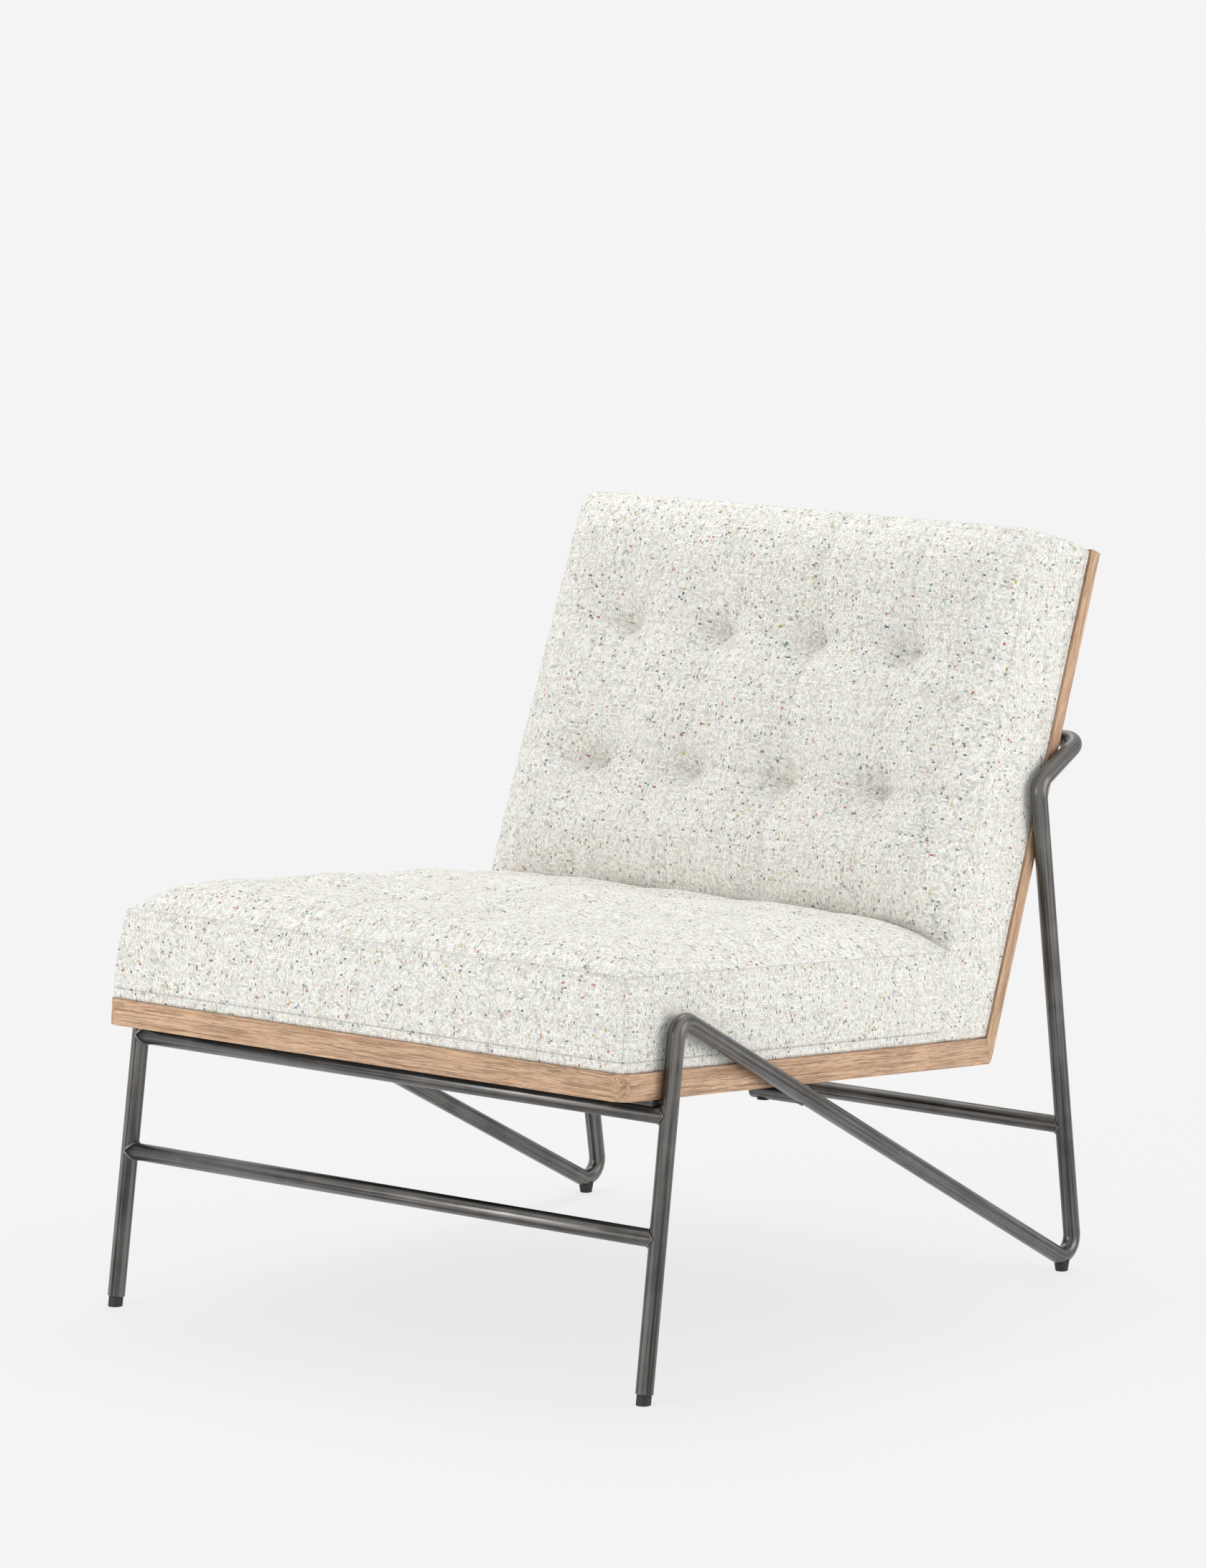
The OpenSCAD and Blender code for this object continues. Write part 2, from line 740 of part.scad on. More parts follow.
module seat_board_rear() {
    seat_beam(board_rear - board_t, rail_h + joint_gap, board_t, seat_board_h, board_inset);
}

module seat_board_side(hand) {
    from = board_inset + board_t + joint_gap;
    to = board_rear - board_t - joint_gap;
    difference() {
        intersection() {
            seat_frame() mirror([hand == "left" ? 1 : 0, 0, 0]) translate([0, from,
                rail_h + joint_gap]) cube([frame_w / 2, to - from,
                seat_board_h + strap_t + joint_gap]);
            side_fill(board_inset);
        }
        side_fill(board_inset + board_t);
    }
}

module back_board_bottom() {
    back_beam(back_board_low, stile_d + joint_gap, board_t, back_board_d, board_inset);
}

module back_board_top() {
    back_beam(back_board_high - board_t, stile_d + joint_gap, board_t, back_board_d,
        board_inset);
}

module back_board_side(hand) {
    from = back_board_low + board_t + joint_gap;
    to = back_board_high - board_t - joint_gap;
    difference() {
        intersection() {
            back_frame() mirror([hand == "left" ? 1 : 0, 0, 0]) translate([0, from,
                stile_d + joint_gap]) cube([frame_w / 2, to - from,
                back_board_d + strap_t + joint_gap]);
            side_fill(board_inset);
        }
        side_fill(board_inset + board_t);
    }
}

// Twine holes at the tufts
module tuft_holes(rows, low, high, d) {
    for (x = columns, y = rows) translate([x, y, low]) cylinder(h = high - low, d = d);
}

module seat_straps_long() {
    seat_frame() difference() {
        for (x = columns) translate([x - strap_w / 2, board_inset, long_strap_v])
            cube([strap_w, board_rear - board_inset, strap_t]);
        tuft_holes(seat_rows, rail_h, seat_seam_h, twine_d + 2 * soft_gap);
    }
}

module seat_straps_cross() {
    difference() {
        for (u = seat_rows)
            seat_beam(u - strap_w / 2, cross_strap_v, strap_w, strap_t, board_inset);
        seat_frame() tuft_holes(seat_rows, rail_h, seat_seam_h, twine_d + 2 * soft_gap);
    }
}

module back_straps_long() {
    back_frame() difference() {
        for (x = columns) translate([x - strap_w / 2, back_board_low, long_strap_w])
            cube([strap_w, back_board_high - back_board_low, strap_t]);
        tuft_holes(back_rows, stile_d, back_seam_d, twine_d + 2 * soft_gap);
    }
}

module back_straps_cross() {
    difference() {
        for (b = back_rows)
            back_beam(b - strap_w / 2, cross_strap_w, strap_w, strap_t, board_inset);
        back_frame() tuft_holes(back_rows, stile_d, back_seam_d, twine_d + 2 * soft_gap);
    }
}

module seat_foam() {
    difference() {
        seat_beam(foam_inset, seat_foam_v, board_rear - foam_step - foam_inset, seat_foam_t,
            foam_inset);
        seat_frame() tuft_holes(seat_rows, rail_h, 2 * seat_seam_h, twine_d + 2 * soft_gap);
    }
}

module back_foam() {
    difference() {
        back_beam(back_board_low + foam_step, back_foam_w,
            back_board_high - back_board_low - 2 * foam_step, back_foam_t, foam_inset);
        back_frame() tuft_holes(back_rows, stile_d, 2 * back_seam_d, twine_d + 2 * soft_gap);
    }
}

// Twine from the cover down through foam and straps to a toggle
module ties(rows, strap_level, pocket_level) {
    low = strap_level - joint_gap - toggle_t;
    for (x = columns, y = rows) translate([x, y, low]) {
        cylinder(h = toggle_t, d = toggle_d);
        cylinder(h = pocket_level - soft_gap - low, d = twine_d);
    }
}

module seat_tuft_ties() {
    seat_frame() ties(seat_rows, long_strap_v, seat_pocket_v);
}

module back_tuft_ties() {
    back_frame() ties(back_rows, long_strap_w, back_pocket_w);
}

// Rise of a cushion over a distance from its edge, from 0 to 1
function swell(t, width, power = 2) = t >= width ? 1 : t <= 0 ? 0
    : 1 - pow(1 - t / width, power);
// Rises from two edges joined so that the corner between them stays full
function full_corner(a, b) = max(0,
    1 - pow(pow(1 - a, corner_fullness) + pow(1 - b, corner_fullness), 1 / corner_fullness));
// Fall of the cloth at the tufts and along the sewn channels
function near(t, width) = exp(-pow(t / width, 2));
function pits(x, y, rows, depth) = max([for (c = columns, r = rows)
    depth * exp(-norm([x - c, y - r]) / tuft_spread)]);
function relief(x, y, rows, depth, channel) = max(pits(x, y, rows, depth),
    channel * max([for (c = columns) near(x - c, channel_spread)]),
    channel * max([for (r = rows) near(y - r, channel_spread)]));

// Grid lines: each stretch between two marks is cut into five, finer at its ends
cuts = [0, 0.14, 0.37, 0.63, 0.86];
function lines(marks) = concat([for (i = [0 : len(marks) - 2], c = cuts)
    marks[i] + c * (marks[i + 1] - marks[i])], [marks[len(marks) - 1]]);

// Closed cover from a grid of places on its face, rings down its sides and a pocket
module cover(face, rings, centre) {
    nx = len(face) - 1;
    ny = len(face[0]) - 1;
    edge = concat([for (i = [0 : nx - 1]) [i, 0]], [for (j = [0 : ny - 1]) [nx, j]],
        [for (i = [nx : -1 : 1]) [i, ny]], [for (j = [ny : -1 : 1]) [0, j]]);
    n = len(edge);
    grid_n = (nx + 1) * (ny + 1);
    function at(i, j) = i * (ny + 1) + j;
    function ringed(k, i) = k < 0 ? at(edge[i % n][0], edge[i % n][1]) : grid_n + k * n + i % n;
    points = concat([for (col = face) each col], [for (r = rings) each r], [centre]);
    last = len(rings) - 1;
    faces = concat(
        [for (i = [0 : nx - 1], j = [0 : ny - 1]) each (i < nx / 2) == (j < ny / 2)
            ? [[at(i, j), at(i + 1, j + 1), at(i + 1, j)],
                [at(i, j), at(i, j + 1), at(i + 1, j + 1)]]
            : [[at(i, j), at(i, j + 1), at(i + 1, j)],
                [at(i + 1, j), at(i, j + 1), at(i + 1, j + 1)]]],
        [for (k = [-1 : last - 1], i = [0 : n - 1]) each [
            [ringed(k, i), ringed(k + 1, i + 1), ringed(k + 1, i)],
            [ringed(k, i), ringed(k, i + 1), ringed(k + 1, i + 1)]]],
        [for (i = [0 : n - 1]) [ringed(last, i), ringed(last, i + 1), len(points) - 1]]);
    polyhedron(points, faces, convexity = 6);
}

// Perimeter of a grid of places, in the cover's own order
function rim(g) = let (nx = len(g) - 1, ny = len(g[0]) - 1) concat(
    [for (i = [0 : nx - 1]) g[i][0]], [for (j = [0 : ny - 1]) g[nx][j]],
    [for (i = [nx : -1 : 1]) g[i][ny]], [for (j = [ny : -1 : 1]) g[0][j]]);

// Seat cover: grid marks run from edge to edge through the tufts
seat_x_marks = concat([-1], columns / seat_half_w(0, 0), [1]);
seat_face_d = seat_at(back_seam_d + soft_gap, seat_seam_h);
seat_y_marks = concat([0], seat_rows / seat_face_d, [1]);
seat_s = lines(seat_x_marks);
seat_t = lines(seat_y_marks);

// Place in plan of a grid point, with the front corners drawn round
function seat_place(s, t, v, inset) = let (
    rear = seat_at(back_seam_d + soft_gap, v),
    u = cover_inset + inset + t * (rear - cover_inset - inset),
    half = seat_half_w(u, v) - cover_inset - inset,
    x = s * half,
    r = corner_r - inset / 2,
    mid = [half - r, cover_inset + inset + r],
    off = [abs(x) - mid[0], mid[1] - u],
    far = off[0] > 0 && off[1] > 0 && norm(off) > r,
    turned = far ? [mid[0] + off[0] * r / norm(off), mid[1] - off[1] * r / norm(off)]
        : [abs(x), u])
    [sign(s) * turned[0], turned[1], v];

function seat_side_rise(x, u) = swell(seat_half_w(u, seat_seam_h) - cover_inset - side_draw
    - abs(x), seat_edge_w, seat_edge_power);

function seat_rise(x, u) = let (
    inward = u - cover_inset - side_draw,
    front_rise = seat_front_share * swell(inward, seat_front_near_w)
        + (1 - seat_front_share) * swell(inward, seat_front_far_w),
    rear_share = seat_rear_rise / seat_crown,
    rear_rise = rear_share + (1 - rear_share) * swell(seat_face_d - u, seat_rear_w),
    body = full_corner(seat_side_rise(x, u), front_rise) * rear_rise)
    body * (seat_crown - relief(x, u, seat_rows, seat_tuft_depth, seat_channel_depth));

// The last line of the grid follows the back's face, which leans away
function seat_top(s, t) = let (
    p = seat_place(s, t, seat_seam_h, side_draw),
    v = seat_seam_h + seat_rise(p[0], p[1]))
    [p[0], t < 1 ? p[1] : seat_at(back_seam_d + soft_gap, v), v];

function seat_ring(v, inset) = rim([for (s = seat_s) [for (t = seat_t)
    seat_place(s, t, v, inset)]]);

function seat_pocket(v, step) = rim([for (s = seat_s) [for (t = seat_t) let (
    low = board_inset + step - soft_gap,
    high = board_rear - step + soft_gap,
    u = low + t * (high - low))
    [s * (seat_half_w(u, v) - board_inset - step + soft_gap), u, v]]]);

module seat_cover() {
    side_h = seat_seam_h - cover_low;
    seat_frame() cover(
        [for (s = seat_s) [for (t = seat_t) seat_top(s, t)]],
        [seat_ring(seat_seam_h - side_h / 3, side_draw / 3),
            seat_ring(cover_low + side_h / 3, 0), seat_ring(cover_low, 0),
            seat_pocket(cover_low, 0), seat_pocket(seat_ledge_v, 0),
            seat_pocket(seat_ledge_v, foam_step), seat_pocket(seat_pocket_v, foam_step)],
        [0, board_rear / 2, seat_pocket_v]);
}

// Back cover: the grid starts below the seat's surface, where the face is flat
back_high = back_len - back_top_drop;
back_seat_b = back_at(seat_seam_h, back_seam_d);
back_low_b = back_at(cover_low, back_seam_d);
back_x_marks = concat([-1], columns / back_half_w(back_len / 2, back_seam_d), [1]);
back_y_marks = (concat([back_seat_b], back_rows, [back_high]) - [1, 1, 1, 1] * back_low_b)
    / (back_high - back_low_b);
back_s = lines(back_x_marks);
back_t = concat([0], lines(back_y_marks));

function back_place(s, t, w, inset) = let (
    low = back_at(cover_low, w),
    high = back_high - inset / 2,
    b = low + t * (high - low),
    half = back_half_w(b, w) - cover_inset - inset,
    r = corner_r - inset,
    mid = [half - r, high - r],
    x = s * half,
    off = [abs(x) - mid[0], b - mid[1]],
    far = w > back_seam_d - 1 && off[0] > 0 && off[1] > 0 && norm(off) > r,
    turned = far ? [mid[0] + off[0] * r / norm(off), mid[1] + off[1] * r / norm(off)]
        : [abs(x), b])
    [sign(s) * turned[0], turned[1], w];

function back_rise(x, b) = let (
    side_rise = swell(back_half_w(b, back_seam_d) - cover_inset - side_draw - abs(x),
        back_edge_w),
    top_rise = swell(back_high - side_draw / 2 - b, back_edge_w),
    seat_rise = seat_rear_rise * seat_side_rise(x, seat_face_d),
    seat_side = swell(b - back_at(seat_seam_h + seat_rise, back_seam_d), back_foot_w),
    body = side_rise * top_rise * seat_side)
    body * (back_crown - relief(x, b, back_rows, back_tuft_depth, channel_depth));

function back_front(s, t) = let (p = back_place(s, t, back_seam_d, side_draw))
    [p[0], p[1], back_seam_d + back_rise(p[0], p[1])];

function back_ring(w, inset) = rim([for (s = back_s) [for (t = back_t)
    back_place(s, t, w, inset)]]);

function back_pocket(w, step) = rim([for (s = back_s) [for (t = back_t) let (
    low = back_board_low + step - soft_gap,
    high = back_board_high - step + soft_gap,
    b = low + t * (high - low))
    [s * (back_half_w(b, w) - board_inset - step + soft_gap), b, w]]]);

module back_cover() {
    side_d = back_seam_d - back_low_w;
    back_frame() cover(
        [for (s = back_s) [for (t = back_t) back_front(s, t)]],
        [back_ring(back_seam_d - side_d / 3, side_draw / 3),
            back_ring(back_low_w + side_d / 3, 0), back_ring(back_low_w, 0),
            back_pocket(back_low_w, 0), back_pocket(back_ledge_w, 0),
            back_pocket(back_ledge_w, foam_step), back_pocket(back_pocket_w, foam_step)],
        [0, (back_board_low + back_board_high) / 2, back_pocket_w]);
}

module outside_back() {
    low = rear_rail_h + soft_gap;
    high = back_len - rail_t - soft_gap;
    difference() {
        back_beam(low, outside_back_set, high - low, outside_back_t, rail_t + soft_gap);
        back_screw_places() screw_hole(0, outside_back_set + outside_back_t + 1);
    }
}

module dust_cover() {
    rear = rail_len - heel_tangent - dust_inset;
    difference() {
        seat_beam(dust_inset, -dust_t - soft_gap / 2, rear - dust_inset, dust_t, dust_inset);
        for (hand = ["right", "left"]) {
            plate_screw_axis(hand) screw_hole(-2 * under_seat, 1);
            lug_screw_axis(hand) screw_hole(-2 * under_seat, 1);
        }
    }
}

// Screw with its head below, pointing up into the wood
module screw(head_level, tip_level) {
    translate([0, 0, head_level]) cylinder(h = screw_head_h, d = screw_head_d);
    translate([0, 0, head_level]) cylinder(h = tip_level - head_level, d = screw_d);
}

module seat_screws() {
    for (hand = ["right", "left"]) {
        plate_screw_axis(hand) screw(-under_seat - plate_t - screw_head_h - weld_gap, screw_grip);
        lug_screw_axis(hand) screw(-lug_drop - tube_d / 2 + spot_d - screw_head_h - weld_gap,
            screw_grip);
    }
}

module back_screws() {
    back_screw_places() screw(back_bar_w - tube_d / 2 + spot_d - screw_head_h - weld_gap,
        outside_back_set + outside_back_t + screw_grip);
}

color(steel) side("right") front_leg();  // front_leg_right
color(steel) side("left") front_leg();  // front_leg_left
color(steel) side("right") top_bend();  // top_bend_right
color(steel) side("left") top_bend();  // top_bend_left
color(steel) side("right") side_brace();  // side_brace_right
color(steel) side("left") side_brace();  // side_brace_left
color(steel) side("right") floor_bend();  // floor_bend_right
color(steel) side("left") floor_bend();  // floor_bend_left
color(steel) side("right") rear_leg();  // rear_leg_right
color(steel) side("left") rear_leg();  // rear_leg_left
color(steel) side("right") back_arm();  // back_arm_right
color(steel) side("left") back_arm();  // back_arm_left
color(steel) back_bar();
color(steel) front_top_bar();
color(steel) front_low_bar();
color(steel) rear_low_bar();
color(steel) seat_lug("right");  // seat_lug_right
color(steel) seat_lug("left");  // seat_lug_left
color(steel) front_plate("right");  // front_plate_right
color(steel) front_plate("left");  // front_plate_left
color(steel) back_lug("right");  // back_lug_right
color(steel) back_lug("left");  // back_lug_left
color(black) side("right") front_foot();  // front_foot_right
color(black) side("left") front_foot();  // front_foot_left
color(black) side("right") rear_foot();  // rear_foot_right
color(black) side("left") rear_foot();  // rear_foot_left
color(oak) front_rail();
color(oak) side_rail("right");  // side_rail_right
color(oak) side_rail("left");  // side_rail_left
color(oak) rear_rail();
color(oak) back_stile("right");  // back_stile_right
color(oak) back_stile("left");  // back_stile_left
color(oak) back_top_rail();
color(birch) back_mid_rail();
color(birch) corner_block("right");  // corner_block_right
color(birch) corner_block("left");  // corner_block_left
color(birch) lug_block("right");  // lug_block_right
color(birch) lug_block("left");  // lug_block_left
color(birch) seat_board_front();
color(birch) seat_board_rear();
color(birch) seat_board_side("right");  // seat_board_right
color(birch) seat_board_side("left");  // seat_board_left
color(birch) back_board_bottom();
color(birch) back_board_top();
color(birch) back_board_side("right");  // back_board_right
color(birch) back_board_side("left");  // back_board_left
color(webbing) seat_straps_long();
color(webbing) seat_straps_cross();
color(webbing) back_straps_long();
color(webbing) back_straps_cross();
color(foam) seat_foam();
color(foam) back_foam();
color(webbing) seat_tuft_ties();
color(webbing) back_tuft_ties();
color(cloth) seat_cover();
color(cloth) back_cover();
color(cloth) outside_back();
color(black) dust_cover();
color(black) seat_screws();
color(black) back_screws();
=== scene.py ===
"""Accent chair: welded tube base, oak show frame and tufted tweed cushions.

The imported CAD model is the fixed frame. Everything here is in metres in that frame: +X to the
right for someone facing the chair, +Y from its front to its rear, +Z up.
"""

import logging
import math
from dataclasses import dataclass, field
from enum import Enum
from functools import reduce
from typing import Iterable, Sequence

import bmesh
import bpy
import numpy as np
from mathutils import Matrix, Vector

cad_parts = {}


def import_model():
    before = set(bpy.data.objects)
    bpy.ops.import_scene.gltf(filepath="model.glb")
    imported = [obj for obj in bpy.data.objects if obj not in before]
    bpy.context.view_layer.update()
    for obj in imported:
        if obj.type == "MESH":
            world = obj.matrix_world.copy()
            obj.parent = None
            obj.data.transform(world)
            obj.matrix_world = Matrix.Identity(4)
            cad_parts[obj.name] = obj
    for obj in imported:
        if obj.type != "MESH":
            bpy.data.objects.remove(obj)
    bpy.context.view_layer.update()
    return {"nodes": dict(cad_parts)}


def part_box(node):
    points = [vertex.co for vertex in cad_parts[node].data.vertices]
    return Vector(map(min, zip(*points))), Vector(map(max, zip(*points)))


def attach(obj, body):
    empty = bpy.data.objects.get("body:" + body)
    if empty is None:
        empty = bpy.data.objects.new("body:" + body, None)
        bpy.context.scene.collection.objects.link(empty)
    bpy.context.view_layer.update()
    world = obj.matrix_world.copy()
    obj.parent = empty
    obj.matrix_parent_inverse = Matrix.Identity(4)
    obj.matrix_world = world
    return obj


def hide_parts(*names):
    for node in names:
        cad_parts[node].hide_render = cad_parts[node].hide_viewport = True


log = logging.getLogger("chair")
MM = 0.001
TINY = 1e-9
Array, Bmesh = np.ndarray, bmesh.types.BMesh
Object, Material, Socket = bpy.types.Object, bpy.types.Material, bpy.types.NodeSocket
Finishes = dict[str, Material]


class Hand(Enum):
    """Side of the chair, as the sign of its X."""

    RIGHT = 1
    LEFT = -1


# ---- geometry of the chair


def unit(v: Sequence[float]) -> Array:
    """Args: v: a vector. Returns: the same direction with length 1."""
    v = np.asarray(v, float)
    return v / np.linalg.norm(v)


def leaning(degrees: float) -> Array:
    """Args: degrees: lean to the rear. Returns: an upright leaning so as (rearward, up)."""
    return np.array([math.sin(math.radians(degrees)), math.cos(math.radians(degrees))])


def swell(t: Array, width: float, power: float = 2.0) -> Array:
    """Rise of a cushion over a distance from its edge.

    Args: t: distances from the edge; width: distance over which the cushion reaches its full
    height; power: how steeply it starts. Returns: shares of the full height, from 0 to 1.
    """
    return 1 - (1 - np.clip(t / width, 0, 1)) ** power


def full_corner(a: Array, b: Array, fullness: float = 6.0) -> Array:
    """Joins the rises from two edges so that the corner between them stays full.

    Args: a, b: shares of the full height by the distance from each edge; fullness: 1 for a
    slack corner, more for a fuller one. Returns: shares of the full height.
    """
    slack = (1 - a) ** fullness + (1 - b) ** fullness
    return np.clip(1 - slack ** (1 / fullness), 0, 1)


@dataclass(frozen=True)
class ChairForm:
    """Main sizes of the chair in metres and degrees, as in the CAD."""

    frame_w: float = 0.677
    side_toe: float = 1.95
    rail_len: float = 0.647
    front_rail_h: float = 0.301
    seat_pitch: float = 5.4
    back_len: float = 0.552
    back_recline: float = 21.3
    rail_h: float = 0.027
    stile_d: float = 0.016
    rail_t: float = 0.030
    corner_r: float = 0.020
    cover_inset: float = 0.003
    side_draw: float = 0.007
    seat_seam_h: float = 0.120
    back_seam_d: float = 0.107
    gap: float = 0.0003
    draw_from: float = 0.25
    draw_power: float = 1.6
    draw_w: float = 0.07

    @property
    def seat_dir(self) -> Array:
        """Returns: the seat's rearward direction as (rearward, up)."""
        return leaning(self.seat_pitch)[::-1] * (1, -1)

    @property
    def seat_up(self) -> Array:
        """Returns: the seat's upward direction as (rearward, up)."""
        return leaning(self.seat_pitch)

    @property
    def back_dir(self) -> Array:
        """Returns: the direction up the back as (rearward, up)."""
        return leaning(self.back_recline)

    @property
    def back_fwd(self) -> Array:
        """Returns: the direction out of the back's face as (rearward, up)."""
        return leaning(self.back_recline)[::-1] * (-1, 1)

    @property
    def heel(self) -> Array:
        """Returns: the corner of rail and stile as (rearward, up)."""
        return np.array([0, self.front_rail_h]) + self.rail_len * self.seat_dir

    @property
    def front_y(self) -> float:
        """Returns: Y of the front rail's face at its bottom edge."""
        return -(self.heel[0] + self.back_len * self.back_dir[0]) / 2

    def half_w(self, y: Array) -> Array:
        """Args: y: distance behind the front rail's face. Returns: half width there."""
        return self.frame_w / 2 - y * math.tan(math.radians(self.side_toe))

    def back_at(self, height: float, forward: float) -> float:
        """Args: height, forward: above the rails' bottom, before the stiles' rear face.
        Returns: distance up the back where the two meet."""
        return (height - forward * (self.seat_up @ self.back_fwd)) / (
            self.seat_up @ self.back_dir)

    def seat_at(self, forward: float, height: Array) -> Array:
        """Args: forward, height: before the stiles' rear face, above the rails' bottom.
        Returns: distance along the seat where the two meet."""
        lift_w = self.seat_up @ self.back_fwd
        return self.rail_len + (forward - height * lift_w) / (self.seat_dir @ self.back_fwd)

    def seat_half(self, u: Array, v: Array) -> Array:
        """Args: u, v: place in the seat's side view. Returns: half width there."""
        return self.half_w(u * self.seat_dir[0] + v * self.seat_up[0])

    def back_half(self, b: Array, w: Array) -> Array:
        """Args: b, w: place in the back's side view. Returns: half width there."""
        return self.half_w(self.heel[0] + b * self.back_dir[0] + w * self.back_fwd[0])

    def placed(self, x: Array, a: Array, b: Array, way_a: Array, way_b: Array,
               origin: Sequence[float]) -> Array:
        """Args: x, a, b: sideways and along two ways; way_a, way_b, origin: those ways and
        their start as (rearward, up). Returns: places in the frame."""
        side = np.multiply.outer(a, way_a) + np.multiply.outer(b, way_b) + origin
        return np.stack([x + 0 * a, side[..., 0] + self.front_y, side[..., 1]], -1)

    def seat(self, x: Array, u: Array, v: Array) -> Array:
        """Args: x, u, v: sideways, along the seat, above it. Returns: places in the frame."""
        return self.placed(x, u, v, self.seat_dir, self.seat_up, (0, self.front_rail_h))

    def back(self, x: Array, b: Array, w: Array) -> Array:
        """Args: x, b, w: sideways, up the back, before it. Returns: places in the frame."""
        return self.placed(x, b, w, self.back_dir, self.back_fwd, self.heel)

    def seat_coords(self, p: Array) -> tuple[Array, Array]:
        """Args: p: places in the frame. Returns: their u and v in the seat's side view."""
        y, z = p[..., 1] - self.front_y, p[..., 2] - self.front_rail_h
        return (y * self.seat_dir[0] + z * self.seat_dir[1],
                y * self.seat_up[0] + z * self.seat_up[1])

    def side_inset(self, p: Array) -> Array:
        """Args: p: places in the frame. Returns: how far the covers' sides lie behind the
        wooden sides there: drawn in towards the sewn edges of the seat and of the back."""
        u, v = self.seat_coords(p)
        w = (p[..., 1] - self.front_y - self.heel[0]) * self.back_fwd[0] + (
            p[..., 2] - self.heel[1]) * self.back_fwd[1]
        corner = self.seat_at(self.back_seam_d, self.seat_seam_h)
        below, before = self.seat_seam_h - v, self.back_seam_d - w
        to_corner = np.hypot(u - corner, v - self.seat_seam_h)
        along = np.where(u < corner, np.abs(below), to_corner)
        up = np.where(v > self.seat_seam_h, np.abs(before), to_corner)
        far = np.clip(np.minimum(along, up) / self.draw_w, 0, 1)
        return self.cover_inset + self.side_draw * (1 - far) ** self.draw_power

    def drawn(self, share: float) -> float:
        """Args: share: place between hem and seam, 0 to 1. Returns: how far the side panel
        is drawn in there."""
        late = np.clip((share - self.draw_from) / (1 - self.draw_from), 0, 1)
        return self.side_draw * late ** self.draw_power

    def side(self, outward: float, rearward: float, up: float, hand: Hand) -> Array:
        """Args: outward, rearward, up: place in the plane of one side; hand: which side.
        Returns: the place in the frame."""
        a = math.radians(self.side_toe)
        x = self.frame_w / 2 + outward * math.cos(a) - rearward * math.sin(a)
        y = self.front_y + outward * math.sin(a) + rearward * math.cos(a)
        return np.array([hand.value * x, y, up])


FORM = ChairForm()


# ---- mesh helpers


def new_object(name: str, bm: Bmesh, smooth: bool = True) -> Object:
    """Turns a finished bmesh into an object of the scene.

    Args: name: the piece's name; bm: the mesh in frame coordinates; it is freed here; smooth:
    whether its faces are smooth shaded. Returns: the linked object.
    """
    bmesh.ops.recalc_face_normals(bm, faces=bm.faces)
    mesh = bpy.data.meshes.new(name)
    bm.to_mesh(mesh)
    bm.free()
    for poly in mesh.polygons:
        poly.use_smooth = smooth
    piece = bpy.data.objects.new(name, mesh)
    bpy.context.scene.collection.objects.link(piece)
    return piece


def carried(piece: Object, material: Material, slot: str,
            *nodes: str) -> Object:
    """Gives a piece its material and ties it to the frame.

    Args: piece: the piece; material: its finish; slot: not used; nodes: CAD nodes that the
    piece stands for. Returns: the same piece.
    """
    piece.data.materials.clear()
    piece.data.materials.append(material)
    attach(piece, "root")
    if nodes:
        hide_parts(*nodes)
    return piece


def arc_path(corners: Sequence[Array], radii: Sequence[float],
             step: float = 7.5) -> Array:
    """Centre line through corners, with a bend of a given radius at each inner one.

    Args: corners: the corners where the straight centre lines meet; radii: bend radii of the
    inner corners; step: largest turn between two points, in degrees. Returns: points along the
    centre line.
    """
    points = [np.asarray(corners[0], float)]
    for before, corner, after, r in zip(corners, corners[1:], corners[2:], radii):
        a, b = unit(corner - before), unit(after - corner)
        turn = math.acos(float(np.clip(a @ b, -1, 1)))
        start = corner - a * r * math.tan(turn / 2)
        inward = unit(b - a * (a @ b))
        count = max(3, math.ceil(math.degrees(turn) / step))
        for t in np.linspace(0, turn, count + 1):
            points.append(start + a * r * math.sin(t) + inward * r * (1 - math.cos(t)))
    points.append(np.asarray(corners[-1], float))
    return np.array(points)


def transported(points: Array, closed: bool) -> list[Matrix]:
    """Frames along a path that turn with it and never twist.

    Args: points: places along the path; closed: whether the last point is followed by the
    first. Returns: one matrix per point, with the path's direction as its Z axis.
    """
    ahead = np.roll(points, -1, 0) - points
    behind = points - np.roll(points, 1, 0)
    if not closed:
        ahead[-1], behind[0] = behind[-1], ahead[0]
    tangents = [Vector(unit(unit(a) + unit(b))) for a, b in zip(ahead, behind)]
    side = tangents[0].orthogonal().normalized()
    frames = []
    for i, (p, t) in enumerate(zip(points, tangents)):
        if i:
            side = tangents[i - 1].rotation_difference(t) @ side
        up = t.cross(side)
        m = Matrix((side, up, t)).transposed().to_4x4()
        m.translation = Vector(p)
        frames.append(m)
    return frames


